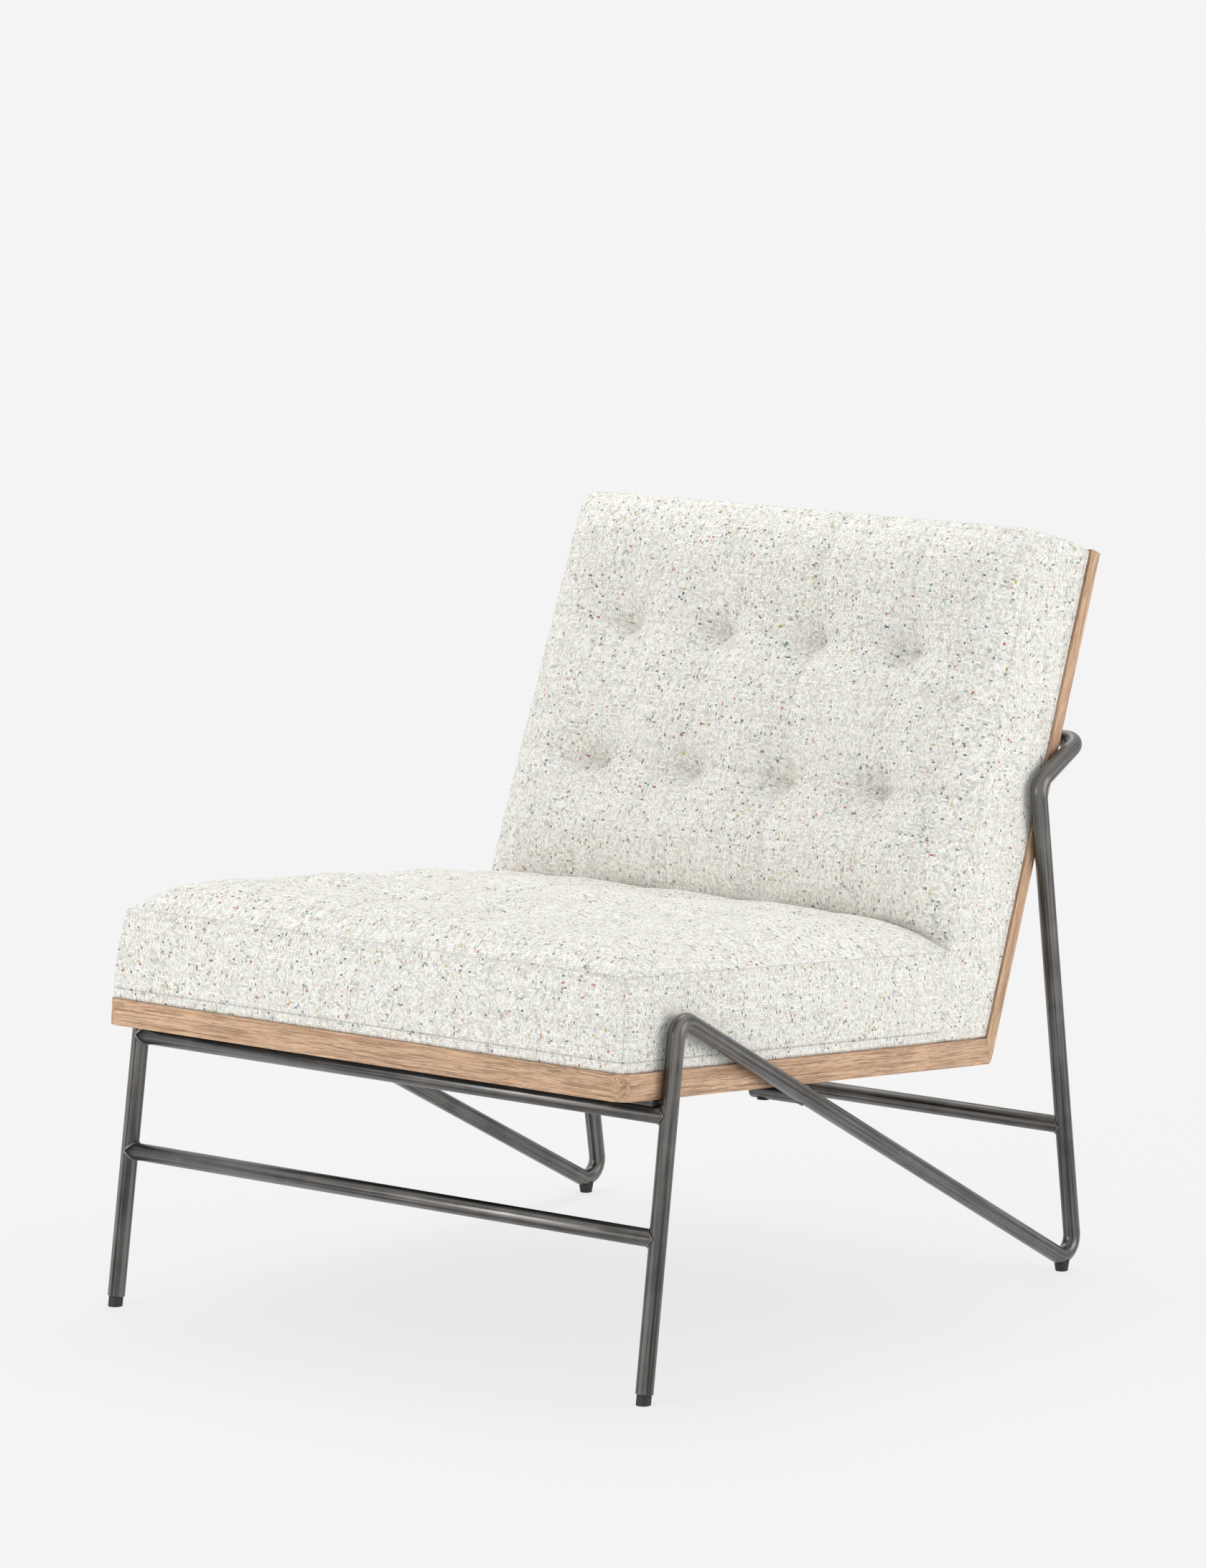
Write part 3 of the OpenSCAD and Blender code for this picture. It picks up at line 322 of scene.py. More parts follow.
def sweep(bm: Bmesh, points: Array, radius: float, segments: int = 24,
          closed: bool = False, ease: float = 0.0006) -> None:
    """Adds a round tube along a path, ring by ring, with its lay along and round it.

    Args: bm: the mesh that it is added to; points: places along its centre line; radius: its
    outside radius; segments: points in each ring; closed: whether it ends where it starts;
    ease: rounding of its two ends.
    """
    lay = bm.verts.layers.float_vector.get("lay") or bm.verts.layers.float_vector.new("lay")
    radii = [radius] * len(points)
    if not closed:
        first = points[0] + unit(points[1] - points[0]) * ease
        last = points[-1] - unit(points[-1] - points[-2]) * ease
        points = np.vstack([points[:1], [first], points[1:-1], [last], points[-1:]])
        radii = [radius - ease] + [radius] * (len(points) - 2) + [radius - ease]
    frames = transported(points, closed)
    along = np.concatenate([[0], np.cumsum(np.linalg.norm(np.diff(points, axis=0), axis=1))])
    made = bmesh.ops.create_circle(bm, segments=segments, radius=radii[0], cap_ends=not closed)
    first_edges = edges = list({e for v in made["verts"] for e in v.link_edges})
    local = {v: v.co / radii[0] for v in made["verts"]}
    for i, (matrix, r) in enumerate(zip(frames, radii)):
        if i:
            grown = bmesh.ops.extrude_edge_only(bm, edges=edges)["geom"]
            fresh = {g for g in grown if isinstance(g, bmesh.types.BMVert)}
            local = {v: next(local[o] for e in v.link_edges for o in [e.other_vert(v)]
                             if o in local) for v in fresh}
            edges = [e for e in {e for v in fresh for e in v.link_edges}
                     if e.verts[0] in fresh and e.verts[1] in fresh]
        for v, c in local.items():
            v.co = matrix @ (c * r)
            v[lay] = (along[i], c.x * r, c.y * r)
    if closed:
        bmesh.ops.bridge_loops(bm, edges=first_edges + edges)
    else:
        bmesh.ops.edgeloop_fill(bm, edges=edges)


def eased_copy(name: str, node: Object, grain: Sequence[float], long_ease: float,
               end_ease: float) -> Object:
    """Copy of a CAD node with eased edges and its lay along a direction.

    Args: name: the piece's name; node: the CAD node that is copied; grain: direction of the
    grain in the frame; long_ease: width of the eased edges that run along the grain; end_ease:
    width of the eased edges round its ends and joints. Returns: the new piece.
    """
    grain = Vector(unit(grain))
    across = Vector((1, 0, 0)) if abs(grain.x) < 0.9 else Vector((0, 1, 0))
    across = (across - grain * across.dot(grain)).normalized()
    third = grain.cross(across)
    bm = bmesh.new()
    bm.from_mesh(node.data)
    bm.transform(node.matrix_world)
    bmesh.ops.remove_doubles(bm, verts=bm.verts, dist=0.01 * MM)
    bmesh.ops.dissolve_limit(bm, angle_limit=math.radians(1), verts=bm.verts, edges=bm.edges)
    if any(len(e.link_faces) != 2 for e in bm.edges):
        log.warning("%s has an open edge", name)
    ends = {f for f in bm.faces if abs(f.normal.dot(grain)) > 0.5}
    for ease, wanted in ((long_ease, False), (end_ease, True)):
        sharp = [e for e in bm.edges if len(e.link_faces) == 2
                 and e.calc_face_angle(0) > math.radians(25)
                 and any(f in ends for f in e.link_faces) == wanted]
        if sharp and ease > 0:
            bmesh.ops.bevel(bm, geom=sharp, offset=ease, offset_type="OFFSET", segments=2,
                            profile=0.5, affect="EDGES", clamp_overlap=True, material=-1)
            ends = {f for f in bm.faces if abs(f.normal.dot(grain)) > 0.5}
    lay = bm.verts.layers.float_vector.new("lay")
    for v in bm.verts:
        v[lay] = (v.co.dot(grain), v.co.dot(across), v.co.dot(third))
    return new_object(name, bm, smooth=False)


# ---- finishes


def linear(hex_code: str) -> tuple[float, float, float, float]:
    """Args: hex_code: an sRGB colour. Returns: it in linear light, opaque."""
    parts = [int(hex_code.lstrip("#")[i:i + 2], 16) / 255 for i in (0, 2, 4)]
    lit = [c / 12.92 if c <= 0.04045 else ((c + 0.055) / 1.055) ** 2.4 for c in parts]
    return (*lit, 1.0)


class Shader:
    """The node tree of a new material or world, with one short call per node."""

    def __init__(self, name: str, world: bool = False) -> None:
        """Args: name: the material's or world's name; world: whether it is a world."""
        self.owner = (bpy.data.worlds if world else bpy.data.materials).new(name)
        self.owner.use_nodes = True
        self.tree = self.owner.node_tree
        self.tree.nodes.clear()
        self.out = self.node("OutputWorld" if world else "OutputMaterial")

    def node(self, kind: str, inputs: dict | None = None, **settings) -> bpy.types.Node:
        """Adds a node.

        Args: kind: its type without the leading ShaderNode; inputs: values or sockets by input
        name or number; settings: attributes of the node. Returns: the node.
        """
        made = self.tree.nodes.new("ShaderNode" + kind)
        for key, value in settings.items():
            setattr(made, key, value)
        for key, value in (inputs or {}).items():
            if isinstance(value, Socket):
                self.tree.links.new(value, made.inputs[key])
            else:
                made.inputs[key].default_value = value
        return made

    def math(self, operation: str, *values) -> Socket:
        """Args: operation: a Math node's; values: numbers or sockets. Returns: its output."""
        return self.node("Math", dict(enumerate(values)), operation=operation).outputs[0]

    def times(self, *values) -> Socket:
        """Args: values: numbers or sockets. Returns: their product."""
        return reduce(lambda a, b: self.math("MULTIPLY", a, b), values)

    def weigh(self, *pairs) -> Socket:
        """Args: pairs: values and their weights. Returns: the sum of the products."""
        return reduce(lambda a, b: self.math("ADD", a, b), [self.times(*p) for p in pairs])

    def arch(self, share) -> Socket:
        """Args: share: place across a thread, 0 to 1. Returns: the thread's height there."""
        return self.math("SINE", self.times(share, math.pi))

    def vector(self, operation: str, *values) -> Socket:
        """Args: operation: a Vector Math node's; values: vectors. Returns: its output."""
        return self.node("VectorMath", dict(enumerate(values)), operation=operation).outputs[0]

    def joined(self, x, y, z=0.0) -> Socket:
        """Args: x, y, z: numbers or sockets. Returns: them as one vector."""
        return self.node("CombineXYZ", {0: x, 1: y, 2: z}).outputs[0]

    def parts(self, vector, kind: str = "XYZ") -> Iterable[Socket]:
        """Args: vector: a vector or colour; kind: XYZ or Color. Returns: its three parts."""
        return self.node("Separate" + kind, {0: vector}).outputs

    def blend(self, factor, a, b, mode: str = "MIX") -> Socket:
        """Args: factor, a, b: share and colours; mode: how they mix. Returns: the colour."""
        return self.node("Mix", {0: factor, 6: a, 7: b}, data_type="RGBA",
                         blend_type=mode).outputs[2]

    def dimmed(self, colour, share) -> Socket:
        """Args: colour, share: a colour and how much of it stays. Returns: their product."""
        return self.blend(1.0, colour, self.joined(share, share, share), "MULTIPLY")

    def noise(self, vector, scale: float | tuple = 1.0, detail: float = 2.0,
              rough: float = 0.5, twist: float = 0.0, output: int = 0) -> Socket:
        """Args: vector: where; scale, detail, rough, twist: the noise's settings, with a
        scale per axis or one; output: 0 for a value around a half, 1 for a colour.
        Returns: it."""
        if isinstance(scale, tuple):
            vector, scale = self.vector("MULTIPLY", vector, scale), 1.0
        return self.node("TexNoise", {"Vector": vector, "Scale": scale, "Detail": detail,
                                      "Roughness": rough, "Distortion": twist}).outputs[output]

    def shifted(self, vector, scale: float | tuple, detail: float, by: float) -> Socket:
        """Args: vector: places; scale, detail: a noise's settings; by: how far it moves
        them. Returns: the moved places."""
        way = self.vector("SUBTRACT", self.noise(vector, scale, detail, output=1), (0.5,) * 3)
        way = self.node("VectorMath", {0: way, "Scale": by}, operation="SCALE").outputs[0]
        return self.vector("ADD", vector, way)

    def chance(self, *vector) -> bpy.types.Node:
        """Args: vector: where, as three parts. Returns: a White Noise node of that place."""
        return self.node("TexWhiteNoise", {"Vector": self.joined(*vector)},
                         noise_dimensions="3D")

    def places(self, laid: bool = False) -> Socket:
        """Args: laid: whether the piece has a lay. Returns: that, or object coordinates."""
        if laid:
            return self.node("Attribute", attribute_name="lay").outputs["Vector"]
        return self.node("TexCoord").outputs["Object"]

    def ease(self, value, low: float, high: float, to_low: float = 0.0,
             to_high: float = 1.0) -> Socket:
        """Args: value: a socket; low, high: its range; to_low, to_high: the new range.
        Returns: it mapped smoothly and held at the range's ends."""
        return self.node("MapRange", {0: value, 1: low, 2: high, 3: to_low, 4: to_high},
                         interpolation_type="SMOOTHSTEP").outputs[0]

    def ramp(self, value, stops: Sequence[tuple[float, str]], hard: bool = False) -> Socket:
        """Args: value: a socket; stops: places and sRGB colours; hard: no blending.
        Returns: the colour at that value."""
        made = self.node("ValToRGB", {0: value})
        made.color_ramp.interpolation = "CONSTANT" if hard else "LINEAR"
        elements = made.color_ramp.elements
        while len(elements) < len(stops):
            elements.new(0.5)
        for element, (place, colour) in zip(elements, stops):
            element.position = place
            element.color = linear(colour)
        return made.outputs[0]

    def bump(self, height, distance: float, strength: float = 1.0, normal=None) -> Socket:
        """Args: height: a socket from 0 to 1; distance: its real depth in metres;
        strength: share of it; normal: an earlier bump. Returns: the bent normal."""
        inputs = {"Height": height, "Distance": distance, "Strength": strength}
        if normal is not None:
            inputs["Normal"] = normal
        return self.node("Bump", inputs).outputs[0]

    def backdrop(self, share, lit, glow) -> None:
        """Args: share: how much the glow counts where it is seen; lit, glow: shaders for
        the light and for the eye. Ends the tree with their mix by kind of ray."""
        rays = self.node("LightPath").outputs
        seen = self.math("MAXIMUM", rays["Is Camera Ray"], rays["Is Glossy Ray"])
        seen = self.math("MAXIMUM", seen, rays["Is Transmission Ray"])
        mixed = self.node("MixShader", {0: self.times(share, seen), 1: lit, 2: glow})
        self.tree.links.new(mixed.outputs[0], self.out.inputs[0])

    def principled(self, **inputs) -> Material:
        """Args: inputs: Principled inputs, with _ for spaces. Returns: the material."""
        named = {key.replace("_", " "): value for key, value in inputs.items()}
        shader = self.node("BsdfPrincipled", named)
        self.tree.links.new(shader.outputs[0], self.out.inputs[0])
        return self.owner


@dataclass(frozen=True)
class TweedCloth:
    """Cream plain-weave upholstery tweed with coloured slubs."""

    warp_pitch: float = 2.05 * MM
    weft_pitch: float = 2.30 * MM
    drift: float = 0.9 * MM
    slub_scale: float = 260.0
    fleck_len: float = 3.0 * MM
    fleck_share: tuple[tuple[float, float], ...] = ((0.988, 0.56), (0.965, 0.34))
    cluster: float = 10.0 * MM
    seam_w: float = 1.8 * MM
    hem_w: float = 2.4 * MM
    base: str = "#f8f6ef"
    grey: str = "#d3d0c7"
    flecks: tuple[str, ...] = ("#24406e", "#b23f2a", "#2f6d62", "#c9a42c", "#93304f",
                               "#457a3c", "#3f4f66", "#5f8f42")

    def yarn(self, s: Shader, index, along, kind: float) -> tuple[Socket, ...]:
        """Args: s: the cloth's tree; index, along: the thread and the place on it; kind:
        warp or weft. Returns: its tone, slub, and its coloured slubs' strength and hue."""
        tone = s.chance(index, kind, 3.0).outputs[0]
        slub = s.noise(s.joined(s.times(index, 7.31), s.times(along, self.slub_scale),
                                kind * 9))
        shift = s.times(s.chance(index, kind, 11.0).outputs[0], 9.0)
        run = s.math("ADD", s.math("DIVIDE", along, self.fleck_len), shift)
        seed = s.chance(index, s.math("FLOOR", run), 17.0 + kind)
        amount = s.weigh(*((s.math("GREATER_THAN", seed.outputs[0], rare), strength)
                           for rare, strength in self.fleck_share))
        return tone, slub, amount, s.parts(seed.outputs[1], "Color")[1]

    def make(self) -> Material:
        """Returns: the cloth, laid by the uv map named cloth, in metres."""
        s = Shader("tweed_cloth")  # cream wool and linen tweed with coloured slub yarns
        place = s.shifted(s.node("UVMap", uv_map="cloth").outputs[0], 45.0, 1.0, self.drift)
        cell = s.vector("DIVIDE", place, (self.warp_pitch, self.weft_pitch, 1))
        ix, iy, _ = s.parts(s.vector("FLOOR", cell))
        fx, fy, _ = s.parts(s.vector("FRACTION", cell))
        px, py, _ = s.parts(place)
        over = s.math("MODULO", s.math("ABSOLUTE", s.math("ADD", ix, iy)), 2.0)
        under = s.math("SUBTRACT", 1.0, over)
        warp_arch, weft_arch = s.arch(fx), s.arch(fy)
        warp, weft = self.yarn(s, ix, py, 1.0), self.yarn(s, iy, px, 2.0)
        tone, slub = (s.weigh((a, over), (b, under)) for a, b in zip(warp[:2], weft[:2]))
        height = s.weigh((warp_arch, s.ease(weft_arch, 0, 1, 0.55, 1), over),
                         (weft_arch, s.ease(warp_arch, 0, 1, 0.55, 1), under))
        fuzz = s.noise(place, 2600.0, 3.0, 0.65)
        knot = s.chance(ix, iy, 29.0).outputs[0]
        shade = s.weigh((tone, 0.26), (slub, 0.30), (knot, 0.54))
        colour = s.blend(s.ease(shade, 0.20, 0.95), linear(self.base), linear(self.grey))
        stops = [(i / len(self.flecks), c) for i, c in enumerate(self.flecks)]
        for thread, shown, arch in ((warp, over, warp_arch), (weft, under, weft_arch)):
            share = s.times(thread[2], s.ease(shown, 0, 1, 0.70, 1),
                            s.ease(arch, 0.15, 0.5, 0.2, 1))
            colour = s.blend(share, colour, s.ramp(thread[3], stops, hard=True))
        clump = s.node("TexVoronoi", {"Vector": place, "Scale": 1 / self.cluster}).outputs
        hue, drawn, _ = s.parts(clump["Color"], "Color")
        tint = s.times(s.ease(clump["Distance"], 0.05, 0.55, 1.0, 0.0),
                       s.math("GREATER_THAN", drawn, 0.25),
                       s.ease(knot, 0.55, 0.95, 0.03, 0.50))
        colour = s.blend(tint, colour, s.ramp(hue, stops, hard=True))
        # painted shade: darker in the low gaps between the threads, by a random depth at each
        # crossing
        gap_shade = s.ease(s.chance(ix, iy, 31.0).outputs[0], 0.30, 0.95, 0.84, 0.42)
        colour = s.dimmed(colour, s.ease(height, 0.05, 0.52, gap_shade, 1.0))
        seam, hem = (s.node("Attribute", attribute_name=name).outputs["Fac"]
                     for name in ("seam", "hem"))
        hem = s.math("ABSOLUTE", hem)
        # painted shade in the creases: darker along the sewn seams and along the hem's stitch
        # line
        colour = s.dimmed(colour, s.times(s.ease(seam, 0.2 * MM, 0.8 * MM, 0.86, 1.0),
                                          s.ease(hem, 0.3 * MM, 1.0 * MM, 0.66, 1.0)))
        groove = s.times(s.ease(seam, 0.0, self.seam_w), s.ease(hem, 0.0, self.hem_w))
        weave = s.weigh((height, 0.8), (fuzz, 0.5), (slub, 0.15))
        normal = s.bump(weave, 0.45 * MM, 0.8, s.bump(groove, 0.35 * MM, 0.8))
        return s.principled(Base_Color=colour, Roughness=0.92, Specular_IOR_Level=0.2,
                            Sheen_Weight=0.12, Sheen_Roughness=0.45, Normal=normal)


@dataclass(frozen=True)
class GunmetalSteel:
    """Dark lacquered steel tube, rubbed along its length."""

    name: str = "gunmetal_steel"
    dark: str = "#323130"
    light: str = "#7a7774"
    roughness: float = 0.32
    drawn: bool = True

    def make(self) -> Material:
        """Returns: the steel, streaked along the lay, or along X where it isn't drawn."""
        s = Shader(self.name)  # hot-blackened tube under clear lacquer
        lay = s.places(self.drawn)
        streak = s.noise(lay, (3.0, 300.0, 300.0), 4.0, 0.62)
        patch = s.noise(lay, 22.0, 3.0, 0.55, 0.6)
        fine = s.noise(lay, (60.0, 1500.0, 1500.0))
        mix = s.weigh((streak, 0.8), (patch, 0.2))
        colour = s.blend(s.ease(mix, 0.35, 0.65), linear(self.dark), linear(self.light))
        worn = s.ease(streak, 0.3, 0.7, self.roughness - 0.05, self.roughness + 0.09)
        grain = s.weigh((fine, 0.4), (patch, 0.6))
        return s.principled(Base_Color=colour, Metallic=0.85,
                            Roughness=s.math("ADD", worn, s.times(fine, 0.05)),
                            Specular_IOR_Level=0.5, Normal=s.bump(grain, 0.02 * MM, 0.5),
                            Coat_Weight=0.3, Coat_Roughness=0.2)


@dataclass(frozen=True)
class BrushedOak:
    """Wire-brushed oak with a light matt oil."""

    name: str = "brushed_oak"
    pale: str = "#d4b191"
    mid: str = "#b48f70"
    dark: str = "#80604a"
    pores: str = "#674630"
    planed: bool = True
    wander: float = 9 * MM

    def make(self) -> Material:
        """Returns: the wood, grained along the lay, or along X where it isn't planed."""
        s = Shader(self.name)  # brushed and oiled oak, or a plain board of the same build
        lay = s.places(self.planed)
        place = s.shifted(lay, (5.0, 26.0, 26.0), 2.0, self.wander)
        rings = s.noise(place, (3.5, 190.0, 190.0), 3.0, 0.55)
        fibre = s.noise(place, (30.0, 1300.0, 1300.0), 3.0, 0.6)
        colour = s.ramp(s.ease(rings, 0.3, 0.7), [(0.0, self.mid), (0.45, self.pale),
                                                  (1.0, self.mid)])
        colour = s.blend(s.ease(fibre, 0.42, 0.70, 0.0, 0.60), colour, linear(self.dark))
        vein = s.noise(place, (14.0, 420.0, 420.0))
        colour = s.blend(s.ease(vein, 0.55, 0.64, 0.0, 0.60), colour, linear(self.dark))
        holes = s.ease(s.noise(place, (75.0, 1900.0, 1900.0), 1.0), 0.60, 0.70)
        colour = s.blend(s.times(holes, 0.6), colour, linear(self.pores))
        broad = s.noise(lay, (7.0, 20.0, 20.0))
        colour = s.dimmed(colour, s.ease(broad, 0.3, 0.7, 0.90, 1.07))
        height = s.math("SUBTRACT", s.times(fibre, 0.6), holes)
        return s.principled(Base_Color=colour, Roughness=s.ease(rings, 0.3, 0.7, 0.50, 0.64),
                            Specular_IOR_Level=0.35, Normal=s.bump(height, 0.12 * MM, 0.6))


@dataclass(frozen=True)
class PlainFinish:
    """A plain material with fine mottling, for rubber, foam and screws."""

    name: str
    colour: str
    second: str
    scale: float
    roughness: float
    depth: float = 0.05 * MM
    metallic: float = 0.0

    def make(self) -> Material:
        """Returns: the material, patterned in object coordinates."""
        s = Shader(self.name)
        where = s.places()
        fine = s.noise(where, self.scale, 4.0, 0.6)
        mix = s.weigh((fine, 0.6), (s.noise(where, self.scale / 14), 0.4))
        colour = s.blend(s.ease(mix, 0.36, 0.64), linear(self.colour), linear(self.second))
        rough = s.ease(fine, 0.3, 0.7, self.roughness - 0.07, self.roughness + 0.07)
        return s.principled(Base_Color=colour, Metallic=self.metallic, Roughness=rough,
                            Normal=s.bump(fine, self.depth, 0.7))


@dataclass(frozen=True)
class WovenStrip:
    """Plain woven fabric of one colour, for webbing, dust cover and twine."""

    name: str
    colour: str
    second: str
    pitch: float

    def make(self) -> Material:
        """Returns: the fabric, patterned in object coordinates."""
        s = Shader(self.name)
        where = s.places()
        cell = s.vector("DIVIDE", where, (self.pitch,) * 3)
        x, y, z = (s.arch(f) for f in s.parts(s.vector("FRACTION", cell)))
        height = s.math("MAXIMUM", s.times(x, y), z)
        mix = s.weigh((height, 0.5), (s.noise(where, 900.0, 3.0), 0.5))
        colour = s.blend(s.ease(mix, 0.25, 0.75), linear(self.colour), linear(self.second))
        return s.principled(Base_Color=colour, Roughness=0.9, Specular_IOR_Level=0.15,
                            Normal=s.bump(mix, 0.2 * MM, 0.7))


FINISHES = {
    "steel": GunmetalSteel(),
    "plate": GunmetalSteel("blackened_plate", drawn=False),  # flat plate, same finish
    "oak": BrushedOak(),
    "cloth": TweedCloth(),
    "rubber": PlainFinish("black_rubber", "#1b1b1b", "#262626", 900.0, 0.62),  # moulded
    "screw": PlainFinish("blackened_screw", "#2a2a2a", "#3c3c3a", 1500.0, 0.38, 0.02 * MM,
                         0.9),  # blackened steel
    "birch": BrushedOak("birch_board", "#e0cfae", "#d2bd98", "#b79a72",
                        planed=False),  # sawn birch boards
    "foam": PlainFinish("upholstery_foam", "#efe6c8", "#e2d7b2", 700.0, 0.9,
                        0.4 * MM),  # open-cell polyurethane
    "webbing": WovenStrip("jute_webbing", "#6b5f4a", "#8f8164", 1.6 * MM),  # jute
    "dust": WovenStrip("dust_cambric", "#1d1d1f", "#2b2b2d", 0.9 * MM),  # black cambric
    "twine": WovenStrip("waxed_twine", "#cfc6b2", "#b3a88f", 0.7 * MM)}  # waxed linen


def make_finishes() -> Finishes:
    """Returns: every material of the chair by its name in FINISHES."""
    return {name: finish.make() for name, finish in FINISHES.items()}


# ---- steel base


@dataclass(frozen=True)
class SteelBase:
    """Welded tube base: one bent tube over both sides, three bars and weld beads; its lugs and
    plates are the CAD's own.
    """

    tube_d: float = 0.018
    corners: tuple[tuple[float, float, float], ...] = (
        (0.0093, 0.0240, 0.0100), (0.0093, 0.078787, 0.376589), (0.0093, 0.793666, 0.001269),
        (0.0093, 0.715233, 0.526075), (0.0093, 0.792791, 0.563234))
    bend_radii: tuple[float, ...] = (0.015, 0.019, 0.020, 0.017)
    top_bar: tuple[float, float, float] = (0.345610, -0.357831, 0.279060)
    low_bar: tuple[float, float, float] = (0.346215, -0.375614, 0.160)
    rear_bar: tuple[float, float, float] = (0.321575, 0.348090, 0.156)
    bar_sunk: float = 0.003
    segments: int = 32
    bead_r: float = 0.0016
    bead_off: float = 0.0002
    bead_lift: float = 1.01
    back_lug_x: float = 0.220
    back_bar_b: float = 0.355
    back_bar_w: float = -0.021

    def side_points(self, hand: Hand) -> list[Array]:
        """Args: hand: which side. Returns: the side tube's corners from foot to back bar."""
        return [FORM.side(*corner, hand) for corner in self.corners]

    def bead(self, bm: Bmesh, at: Array, post: Array,
             bar: Array) -> None:
        """Adds a weld bead where a bar meets a tube.

        Args: bm: the mesh that it is added to; at: where the two centre lines meet; post:
        direction of the tube that is met; bar: direction of the bar, away from that tube.
        """
        r = self.tube_d / 2
        post, bar = unit(post), unit(bar)
        up = unit(post - bar * (post @ bar))
        side = np.cross(bar, up)
        lean = bar - post * (bar @ post)
        points = []
        for t in np.linspace(0, 2 * math.pi, 48, endpoint=False):
            off = r * (math.cos(t) * up + math.sin(t) * side)
            flat = off - post * (off @ post)
            half, rest = lean @ flat, flat @ flat - r * r
            run = (-half + math.sqrt(max(half * half - (lean @ lean) * rest, 0))) / (lean @ lean)
            points.append(at + bar * (run + self.bead_off) + off * self.bead_lift)
        sweep(bm, np.array(points), self.bead_r, 8, closed=True)

    def build(self, finishes: Finishes) -> None:
        """Args: finishes: the chair's materials."""
        r = self.tube_d / 2
        left, right = (self.side_points(hand) for hand in (Hand.LEFT, Hand.RIGHT))
        path = arc_path(left + right[::-1], self.bend_radii + self.bend_radii[::-1])
        bm = bmesh.new()
        sweep(bm, path, r, self.segments)
        names = [n + s for n in ("front_leg", "top_bend", "side_brace", "floor_bend",
                                 "rear_leg", "back_arm") for s in ("_right", "_left")]
        carried(new_object("bent_tube", bm), finishes["steel"], "steel", *names, "back_bar")
        for name, end in (("front_top_bar", self.top_bar), ("front_low_bar", self.low_bar),
                          ("rear_low_bar", self.rear_bar)):
            bm = bmesh.new()
            half = np.array(end) - (self.bar_sunk, 0, 0)
            sweep(bm, np.array([half * (-1, 1, 1), half]), r, self.segments)
            carried(new_object(name + "_tube", bm), finishes["steel"], "steel", name)
        self.build_welds(finishes)

    def build_welds(self, finishes: Finishes) -> None:
        """Args: finishes: the chair's materials."""
        bm = bmesh.new()
        for hand in Hand:
            points = self.side_points(hand)
            inward = np.array([-hand.value, 0.0, 0.0])
            leg, brace = points[1] - points[0], points[2] - points[1]
            post = points[3] - points[2]
            for end, along in ((self.top_bar, leg), (self.low_bar, leg), (self.rear_bar, post)):
                self.bead(bm, np.array(end) * (hand.value, 1, 1), along, inward)
            back = FORM.back(*(np.array(c) for c in (hand.value * self.back_lug_x,
                                                     self.back_bar_b, self.back_bar_w)))
            forward = np.array([0, *FORM.back_fwd])
            self.bead(bm, back, np.array([1.0, 0, 0]), forward)
            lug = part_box("seat_lug_right" if hand is Hand.RIGHT else "seat_lug_left")
            y = (lug[0][1] + lug[1][1]) / 2
            share = (y - points[1][1]) / brace[1]
            self.bead(bm, points[1] + brace * share, brace, inward)
        carried(new_object("weld_beads", bm), finishes["steel"], "steel")


# ---- wooden frame


@dataclass(frozen=True)
class ShowFrame:
    """Oak rails and stiles with eased edges and tight joints."""

    ease: float = 1.1 * MM
    joint_ease: float = 0.8 * MM

    def build(self, nodes: dict, finishes: Finishes) -> None:
        """Args: nodes: the CAD nodes by name; finishes: the chair's materials."""
        toe = math.radians(FORM.side_toe)
        for name in ("front_rail", "back_top_rail", "rear_rail"):
            piece = eased_copy(name + "_oak", nodes[name], (1, 0, 0), self.ease,
                               self.joint_ease)
            carried(piece, finishes["oak"], "oak", name)
        for hand in Hand:
            tail = "_right" if hand is Hand.RIGHT else "_left"
            rail = (-hand.value * math.sin(toe), *FORM.seat_dir)
            stile = (-hand.value * math.sin(toe) * FORM.back_dir[0], *FORM.back_dir)
            for name, grain in (("side_rail", rail), ("back_stile", stile)):
                piece = eased_copy(name + tail + "_oak", nodes[name + tail], grain, self.ease,
                                   self.joint_ease)
                carried(piece, finishes["oak"], "oak", name + tail)


# ---- cushions


@dataclass(frozen=True)
class Tufting:
    """Columns and rows of tufts, with the sewn channels between them."""

    columns: tuple[float, ...] = (-0.186, -0.062, 0.062, 0.186)
    rows: tuple[float, ...] = ()
    depth: float = 0.018
    spread: float = 0.030
    pull: float = 0.016
    pull_spread: float = 0.012
    channel: float = 0.005
    crease: float = 0.013
    eye: float = 0.004

    def near(self, a: Array, marks: Sequence[float]) -> Array:
        """Args: a: places; marks: lines. Returns: the distance to the nearest line."""
        return np.min([np.abs(a - m) for m in marks], axis=0)

    def far(self, x: Array, y: Array) -> Array:
        """Args: x, y: places on the face. Returns: the distance to the nearest tuft."""
        return np.min([np.hypot(x - c, y - r) for c in self.columns for r in self.rows], axis=0)

    def relief(self, x: Array, y: Array) -> Array:
        """Args: x, y: places on the face. Returns: how deep the face is drawn in there."""
        soft = np.sqrt(self.far(x, y) ** 2 + self.eye ** 2) - self.eye
        pit = (self.depth * np.exp(-soft / self.spread)
               + self.pull * np.exp(-soft / self.pull_spread))
        lines = [self.channel * np.exp(-self.near(a, m) / self.crease)
                 for a, m in ((x, self.columns), (y, self.rows))]
        deep = np.maximum(lines[0], lines[1])
        return (pit ** 3 + deep ** 3) ** (1 / 3)

    def seam(self, x: Array, y: Array) -> Array:
        """Args: x, y: places on the face. Returns: the distance to the nearest sewn line."""
        return np.minimum(self.near(x, self.columns), self.near(y, self.rows))


